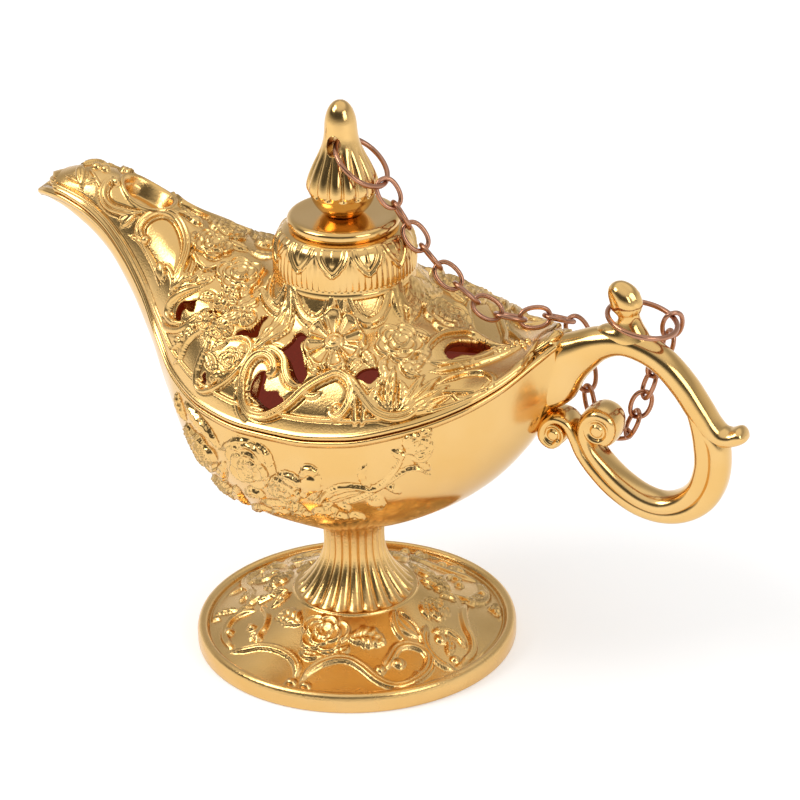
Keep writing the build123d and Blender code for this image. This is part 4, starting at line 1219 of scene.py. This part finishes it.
def cap_shape(turn, z):
    """Pointed petals hanging from the shoulder, with doubled edges, over a band of fine ribs."""
    side = np.abs((turn * PETALS / (2 * math.pi)) % 1 - 0.5) * 2
    t = np.clip((PETAL_TOP - z) / (PETAL_TOP - PETAL_LOW), 0, 1)
    gap = (1 - t ** 1.6) * 0.98 - side
    above_tips = np.clip((z - PETAL_LOW) / 0.3, 0, 1)
    line = np.exp(-((gap - 0.05) / 0.10) ** 2) * above_tips
    inner = np.exp(-((gap - 0.36) / 0.07) ** 2) * (t < 0.72)
    rib = np.exp(-(side / 0.06) ** 2) * (t < 0.5)
    on_band = (z < PETAL_TOP + 0.2) & (z > BAND_LOW)
    field = np.where(gap > 0, -0.22, -0.10)
    petals = np.where(on_band, 0.42 * line + 0.22 * inner + 0.15 * rib + field, 0)
    ribs = 0.10 * np.cos(turn * BAND_RIBS) * (gap < 0)
    below = np.clip((PETAL_TOP - 1.2 - z) / 1.0, 0, 1) * np.clip((z - RIBS_LOW) / 0.4, 0, 1)
    return petals + ribs * below


def finial_shape(turn, z):
    """Rounded ribs that start at the neck and end in scallops above a plain foot."""
    lobe = np.abs(np.cos(turn * FINIAL_RIBS / 2)) ** 0.6
    ribbed = (z > RIB_HEIGHTS[0]) & (z < RIB_HEIGHTS[-1])
    return -smooth(z, RIB_HEIGHTS, RIB_DEPTHS) * (1 - lobe) * ribbed


# Distance in metres within which points are one, and area under which a face is empty
ONE_POINT, NO_AREA = 2e-6, 1e-13


def tidy_mesh(piece):
    """Joins doubled points, drops empty faces and turns the rest outward."""
    work = bmesh.new()
    work.from_mesh(piece.data)
    bmesh.ops.remove_doubles(work, verts=work.verts, dist=ONE_POINT)
    empty = [f for f in work.faces if f.calc_area() < NO_AREA]
    bmesh.ops.delete(work, geom=empty, context="FACES")
    bmesh.ops.recalc_face_normals(work, faces=work.faces)
    work.to_mesh(piece.data)
    work.free()
    piece.data.polygons.foreach_set("use_smooth", [True] * len(piece.data.polygons))


def drill_hole(piece):
    """Cuts the ring's hole through the finial, from the near side to the far one."""
    path = spline([(0, -HOLE_REACH, HOLE_HEIGHT), (0, HOLE_REACH, HOLE_HEIGHT)], 4)
    verts, faces = tube(path, HOLE_RADIUS, closed=False, sides=HOLE_SIDES)
    verts[:, 2] += (verts[:, 2] - HOLE_HEIGHT + HOLE_RADIUS) * (HOLE_STRETCH - 1)
    count = len(verts)
    ends = [list(range(HOLE_SIDES))[::-1], list(range(count - HOLE_SIDES, count))]
    mesh = bpy.data.meshes.new("drill")
    mesh.from_pydata((verts * MM).tolist(), [], faces.tolist() + ends)
    drill = bpy.data.objects.new("drill", mesh)
    bpy.context.scene.collection.objects.link(drill)
    hole = piece.modifiers.new("hole", "BOOLEAN")
    hole.operation = "DIFFERENCE"
    hole.solver = "EXACT"
    hole.object = drill
    bpy.context.view_layer.update()
    cut_piece = piece.evaluated_get(bpy.context.evaluated_depsgraph_get())
    cut_mesh = bpy.data.meshes.new_from_object(cut_piece)
    piece.modifiers.clear()
    piece.data = cut_mesh
    bpy.data.objects.remove(drill)


turned_piece("cap_dome", CAP, 130, 504, cap_shape, polished, ("dome_cap",))
turned_piece("cap_plate", PLATE, 60, 160, plain, polished, ("cap_disc",))
turned_piece("lid_neck", NECK, 60, 240, plain, carved)
finial_piece = turned_piece("finial_bulb", FINIAL, 150, 224, finial_shape, polished, ("finial",))
tidy_mesh(finial_piece)
drill_hole(finial_piece)


# Handle: strands swept in the middle plane, with two volutes and a horn

# Pixel across and down, then half thickness and half width in mm
MAIN_STRAND = (
    (520, 396, 3.0, 1.5), (530, 388, 4.8, 3.6), (540, 381, 6.0, 4.3), (549, 374, 6.4, 4.2),
    (557, 367, 6.0, 3.9), (566, 360, 5.2, 3.6), (580, 352, 4.2, 3.45), (600, 343, 3.2, 3.25),
    (622, 341, 2.65, 3.1), (645, 349, 2.5, 3.0), (665, 363, 2.45, 3.0), (684, 385, 2.5, 3.0),
    (699, 408, 2.5, 3.0), (711, 426, 2.3, 2.9), (721, 435, 2.0, 2.8), (732, 437, 1.7, 2.6),
    (740, 435, 1.65, 2.5), (744, 433, 1.4, 2.1), (746, 432, 0.6, 1.0),
)
INNER_STRAND = (
    (690, 398, 1.2, 2.4), (700, 420, 1.8, 2.8), (705, 442, 2.0, 3.0), (706, 465, 2.05, 3.1),
    (699, 486, 2.05, 3.1), (684, 499, 2.05, 3.1), (664, 503, 2.05, 3.1), (643, 496, 2.0, 3.1),
    (622, 481, 1.95, 3.1), (605, 463, 1.8, 3.1), (593, 446, 1.6, 3.2), (587, 429, 1.45, 3.3),
    (590, 416, 1.4, 3.4), (601, 410, 1.4, 3.5), (613, 416, 1.4, 3.4), (616, 428, 1.3, 3.3),
    (610, 437, 1.2, 3.2), (602, 434, 1.0, 3.0),
)
OUTER_STRAND = (
    (706, 428, 1.4, 2.6), (717, 442, 1.9, 2.9), (720, 460, 2.0, 3.0), (717, 482, 2.0, 3.0),
    (706, 500, 2.0, 3.0), (687, 510, 1.95, 3.0), (664, 511, 1.9, 3.0), (640, 503, 1.9, 3.0),
    (618, 488, 1.8, 3.0), (600, 470, 1.65, 3.0), (585, 450, 1.45, 3.0), (577, 432, 1.35, 3.1),
    (570, 419, 1.3, 3.2), (559, 414, 1.25, 3.3), (549, 420, 1.25, 3.3), (547, 432, 1.2, 3.2),
    (556, 440, 1.1, 3.1), (564, 435, 0.9, 3.0),
)
# Middle pixel of each volute's boss, then its radius, half width and dimple in mm
BOSSES = (((602, 425), 2.6, 3.3, 0.5), ((558, 429), 2.3, 3.1, 0.5))
# Pixels of the horn's base, neck and crown
HORN_LINE = ((626, 341), (629, 316), (612, 283))
# Share of the horn's length, then half size along the lamp and half width in mm
HORN = (
    (0.0, 6.2, 3.0), (0.10, 5.2, 2.9), (0.20, 3.8, 2.6), (0.30, 2.6, 2.25), (0.38, 2.1, 2.0),
    (0.44, 2.05, 2.0), (0.52, 2.6, 2.6), (0.60, 3.05, 2.9), (0.70, 3.05, 2.9), (0.82, 2.6, 2.5),
    (0.92, 1.9, 1.9), (0.98, 1.0, 1.0), (1.0, 0.05, 0.05),
)
HORN_STEPS, HORN_SIDES = 50, 40


def on_middle(pixels):
    """Points of the middle plane seen at pixels."""
    found = []
    for u, v in pixels:
        way = sight_line(u, v)
        found.append(eye_mm - way * eye_mm[1] / way[1])
    return np.array(found)


def strand(rows, steps, squareness, sides=28):
    """Vertices and faces of a bar swept along its rows. Its section is squarer as squareness falls."""
    rows = np.asarray(rows, float)
    path = on_middle(rows[:, :2])
    line = spline(np.column_stack([path[:, 0], path[:, 2], rows[:, 2:]]), steps)
    tangent = np.gradient(line[:, :2], axis=0)
    tangent /= np.linalg.norm(tangent, axis=1)[:, None]
    turn = np.linspace(0, 2 * math.pi, sides, endpoint=False)
    c, d = np.cos(turn), np.sin(turn)
    c = np.sign(c) * np.abs(c) ** squareness
    d = np.sign(d) * np.abs(d) ** squareness
    x = line[:, :1] - tangent[:, 1:] * line[:, 2:3] * c
    z = line[:, 1:2] + tangent[:, :1] * line[:, 2:3] * c
    y = line[:, 3:4] * d
    points = np.stack([x, y, z], -1)
    faces = [list(f) for f in grid_faces(steps, sides, wrap_v=True)]
    count = len(points.reshape(-1, 3))
    ends = [points[0].mean(0), points[-1].mean(0)]
    for k in range(sides):
        faces.append([count, k, (k + 1) % sides])
        faces.append([count + 1, (steps - 1) * sides + (k + 1) % sides, (steps - 1) * sides + k])
    return np.vstack([points.reshape(-1, 3), ends]), faces


def joined(pieces):
    """Vertices and faces of several pieces as one."""
    verts, faces, offset = [], [], 0
    for v, f in pieces:
        verts.append(v)
        faces += [[int(i) + offset for i in face] for face in f]
        offset += len(v)
    return np.vstack(verts), faces


def boss(pixel, radius, face, dimple, sides=36):
    """A plug through a volute, its face dished round a low button."""
    centre = on_middle([pixel])[0]
    side = spline((
        (0.0, face), (0.35, face - 0.05), (0.55, face - dimple), (0.8, face - 0.3 * dimple),
        (0.95, face - 0.1), (1.0, face - 0.6),
    ), 22)
    level = np.vstack([side * (radius, -1), side[::-1] * (radius, 1)])
    turn = np.linspace(0, 2 * math.pi, sides, endpoint=False)[:, None]
    points = np.stack(np.broadcast_arrays(
        centre[0] + level[:, 0] * np.cos(turn), level[:, 1], centre[2] + level[:, 0] * np.sin(turn)), -1)
    return points.reshape(-1, 3), grid_faces(sides, len(level), wrap_u=True)


def horn():
    """A bud on a short stalk, leaning towards the lid."""
    base, neck, crown = on_middle(HORN_LINE)
    level = spline(HORN, HORN_STEPS)
    low_bend, high_bend = (base + neck) / 2 + (0.3, 0, 0), (neck + crown) / 2 + (0.9, 0, 0.2)
    line = spline((base, low_bend, neck, high_bend, crown), HORN_STEPS)
    count = np.arange(HORN_STEPS)
    step = np.interp(level[:, 0], np.linspace(0, 1, HORN_STEPS), count)
    centre = np.stack([np.interp(step, count, line[:, k]) for k in range(3)], 1)
    tangent = np.gradient(centre, axis=0)
    tangent /= np.linalg.norm(tangent, axis=1)[:, None]
    turn = np.linspace(0, 2 * math.pi, HORN_SIDES, endpoint=False)
    facets = 1 - 0.10 * (1 - np.abs(np.cos(turn * 2.5)) ** 0.5)
    across = np.stack([tangent[:, 2], 0 * tangent[:, 0], -tangent[:, 0]], 1)
    shape = np.where(level[:, 0:1] > 0.45, facets[None, :], 1)
    points = (centre[:, None] + across[:, None] * (level[:, 1:2] * np.cos(turn) * shape)[..., None]
              + np.array((0, 1, 0)) * (level[:, 2:3] * np.sin(turn) * shape)[..., None])
    return points.reshape(-1, 3), grid_faces(HORN_STEPS, HORN_SIDES, wrap_v=True)


def make_handle():
    """The cast handle: three strands, the bosses of both volutes and the horn."""
    verts, faces = joined([
        strand(MAIN_STRAND, 120, 0.92),
        strand(INNER_STRAND, 130, 0.85),
        strand(OUTER_STRAND, 130, 0.85),
        *(boss(*row) for row in BOSSES),
        horn(),
    ])
    tidy_mesh(make_piece("handle_cast", verts, faces, polished, "base", ("handle",)))


make_handle()


# Rings and chain links, smooth wires placed where the solids are

WIRE_STEPS = 64


def wire_frame(node):
    """Middle, long axis, wide axis and half sizes of a flat ring or link, from its vertices."""
    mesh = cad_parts[node].data
    co = np.zeros(len(mesh.vertices) * 3)
    mesh.vertices.foreach_get("co", co)
    co = co.reshape(-1, 3) / MM
    _, _, axes = np.linalg.svd(co - co.mean(0), full_matrices=False)
    local = (co - co.mean(0)) @ axes.T
    middle = co.mean(0) + ((local.max(0) + local.min(0)) / 2) @ axes
    half = (local.max(0) - local.min(0)) / 2
    return middle, axes, half


def oval(half_long, half_wide):
    """Centre line of an oval link, or of a round ring where both half sizes agree."""
    straight = half_long - half_wide
    a = np.linspace(0, 2 * math.pi, WIRE_STEPS, endpoint=False)
    x = half_wide * np.cos(a) + np.sin(math.pi / 2 * np.cos(a)) * straight
    return x, half_wide * np.sin(a)


def make_wires():
    """A smooth wire for each ring and chain link."""
    for node in sorted(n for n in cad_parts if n.startswith("chain_link_") or n.endswith("_ring")):
        middle, axes, half = wire_frame(node)
        wire = half[2]
        x, y = oval(half[0] - wire, half[1] - wire)
        path = middle + np.outer(x, axes[0]) + np.outer(y, axes[1])
        verts, faces = tube(path, wire)
        body = "hook_ring" if node == "hook_ring" else "lid"
        make_piece(node + "_wire", verts, faces, copper, body, (node,))


make_wires()


# Stage: pale floor, and a studio sky with soft lights

# Half size in metres, colour and glow of the floor
FLOOR_HALF, FLOOR_COLOR, FLOOR_LIFT = 3, (0.86, 0.86, 0.86), 0.3
# Brightness of the sky by the sine of the height above the horizon
FRONT_SKY = (
    (-1, 0.9), (0.0, 0.8), (0.10, 0.38), (0.22, 0.07), (0.55, 0.09), (0.72, 0.78), (0.85, 0.93), (1, 0.93),
)
BACK_SKY = ((-1, 0.9), (0.0, 0.9), (0.25, 0.75), (0.45, 0.45), (0.62, 0.5), (0.80, 1.0), (1, 1.0))
# Place in metres, size in metres and power in watts of each light
KEY_LIGHT = ((-0.55, -0.45, 0.75), 0.45, 4.2)
FILL_LIGHT = ((0.75, -0.35, 0.45), 0.4, 2)
LIGHT_AIM = (0, 0, 0.055)


def floor_look():
    """Pale matt floor, lifted to white where the camera and the metal see it."""
    material, nodes, links, shader = principled("floor", FLOOR_COLOR, 0.9)
    path = nodes.new("ShaderNodeLightPath")
    seen = nodes.new("ShaderNodeMath")
    seen.operation = "MAXIMUM"
    lift = nodes.new("ShaderNodeMath")
    lift.operation = "MULTIPLY"
    lift.inputs[1].default_value = FLOOR_LIFT
    links.new(path.outputs["Is Camera Ray"], seen.inputs[0])
    links.new(path.outputs["Is Glossy Ray"], seen.inputs[1])
    links.new(seen.outputs[0], lift.inputs[0])
    shader.inputs["Emission Color"].default_value = (1, 1, 1, 1)
    links.new(lift.outputs[0], shader.inputs["Emission Strength"])
    return material


def make_floor():
    """A large square card under the lamp."""
    mesh = bpy.data.meshes.new("floor")
    corners = [(FLOOR_HALF * x, FLOOR_HALF * y, 0) for x, y in ((-1, -1), (1, -1), (1, 1), (-1, 1))]
    mesh.from_pydata(corners, [], [(0, 1, 2, 3)])
    mesh.materials.append(floor_look())
    card = bpy.data.objects.new("floor", mesh)
    bpy.context.scene.collection.objects.link(card)


make_floor()
world = bpy.data.worlds.new("studio")
world.use_nodes = True
bpy.context.scene.world = world


def sky_ramp(stops):
    """Brightness by height above the horizon, from (sine of the height, brightness) pairs."""
    ramp = world.node_tree.nodes.new("ShaderNodeValToRGB")
    elements = ramp.color_ramp.elements
    while len(elements) < len(stops):
        elements.new(0.5)
    for element, (height, level) in zip(elements, stops):
        element.position, element.color = height / 2 + 0.5, (level, level, level, 1)
    return ramp


def build_sky():
    """A white sweep behind, a dimmer room in front, a soft box overhead."""
    nodes, links = world.node_tree.nodes, world.node_tree.links
    where = nodes.new("ShaderNodeTexCoord")
    split = nodes.new("ShaderNodeSeparateXYZ")
    height = nodes.new("ShaderNodeMapRange")
    height.inputs["From Min"].default_value, height.inputs["From Max"].default_value = -1, 1
    facing = nodes.new("ShaderNodeMapRange")
    facing.interpolation_type = "SMOOTHSTEP"
    facing.inputs["From Min"].default_value, facing.inputs["From Max"].default_value = -0.45, 0.25
    front, behind = sky_ramp(FRONT_SKY), sky_ramp(BACK_SKY)
    mix = nodes.new("ShaderNodeMix")
    mix.data_type = "RGBA"
    links.new(where.outputs["Generated"], split.inputs[0])
    links.new(split.outputs["Z"], height.inputs["Value"])
    links.new(split.outputs["Y"], facing.inputs["Value"])
    for ramp in (front, behind):
        links.new(height.outputs["Result"], ramp.inputs["Fac"])
    links.new(facing.outputs["Result"], mix.inputs["Factor"])
    links.new(front.outputs["Color"], mix.inputs[6])
    links.new(behind.outputs["Color"], mix.inputs[7])
    background = nodes["Background"]
    links.new(mix.outputs[2], background.inputs["Color"])
    background.inputs["Strength"].default_value = 1.0


build_sky()


def area_light(name, position, size, power):
    """A square soft box that points at the middle of the lamp."""
    lamp = bpy.data.lights.new(name, "AREA")
    lamp.shape = "SQUARE"
    lamp.size = size
    lamp.energy = power
    light = bpy.data.objects.new(name, lamp)
    bpy.context.scene.collection.objects.link(light)
    light.location = position
    light.rotation_mode = "QUATERNION"
    light.rotation_quaternion = (Vector(LIGHT_AIM) - Vector(position)).to_track_quat("-Z", "Y")


area_light("key", *KEY_LIGHT)
area_light("fill", *FILL_LIGHT)
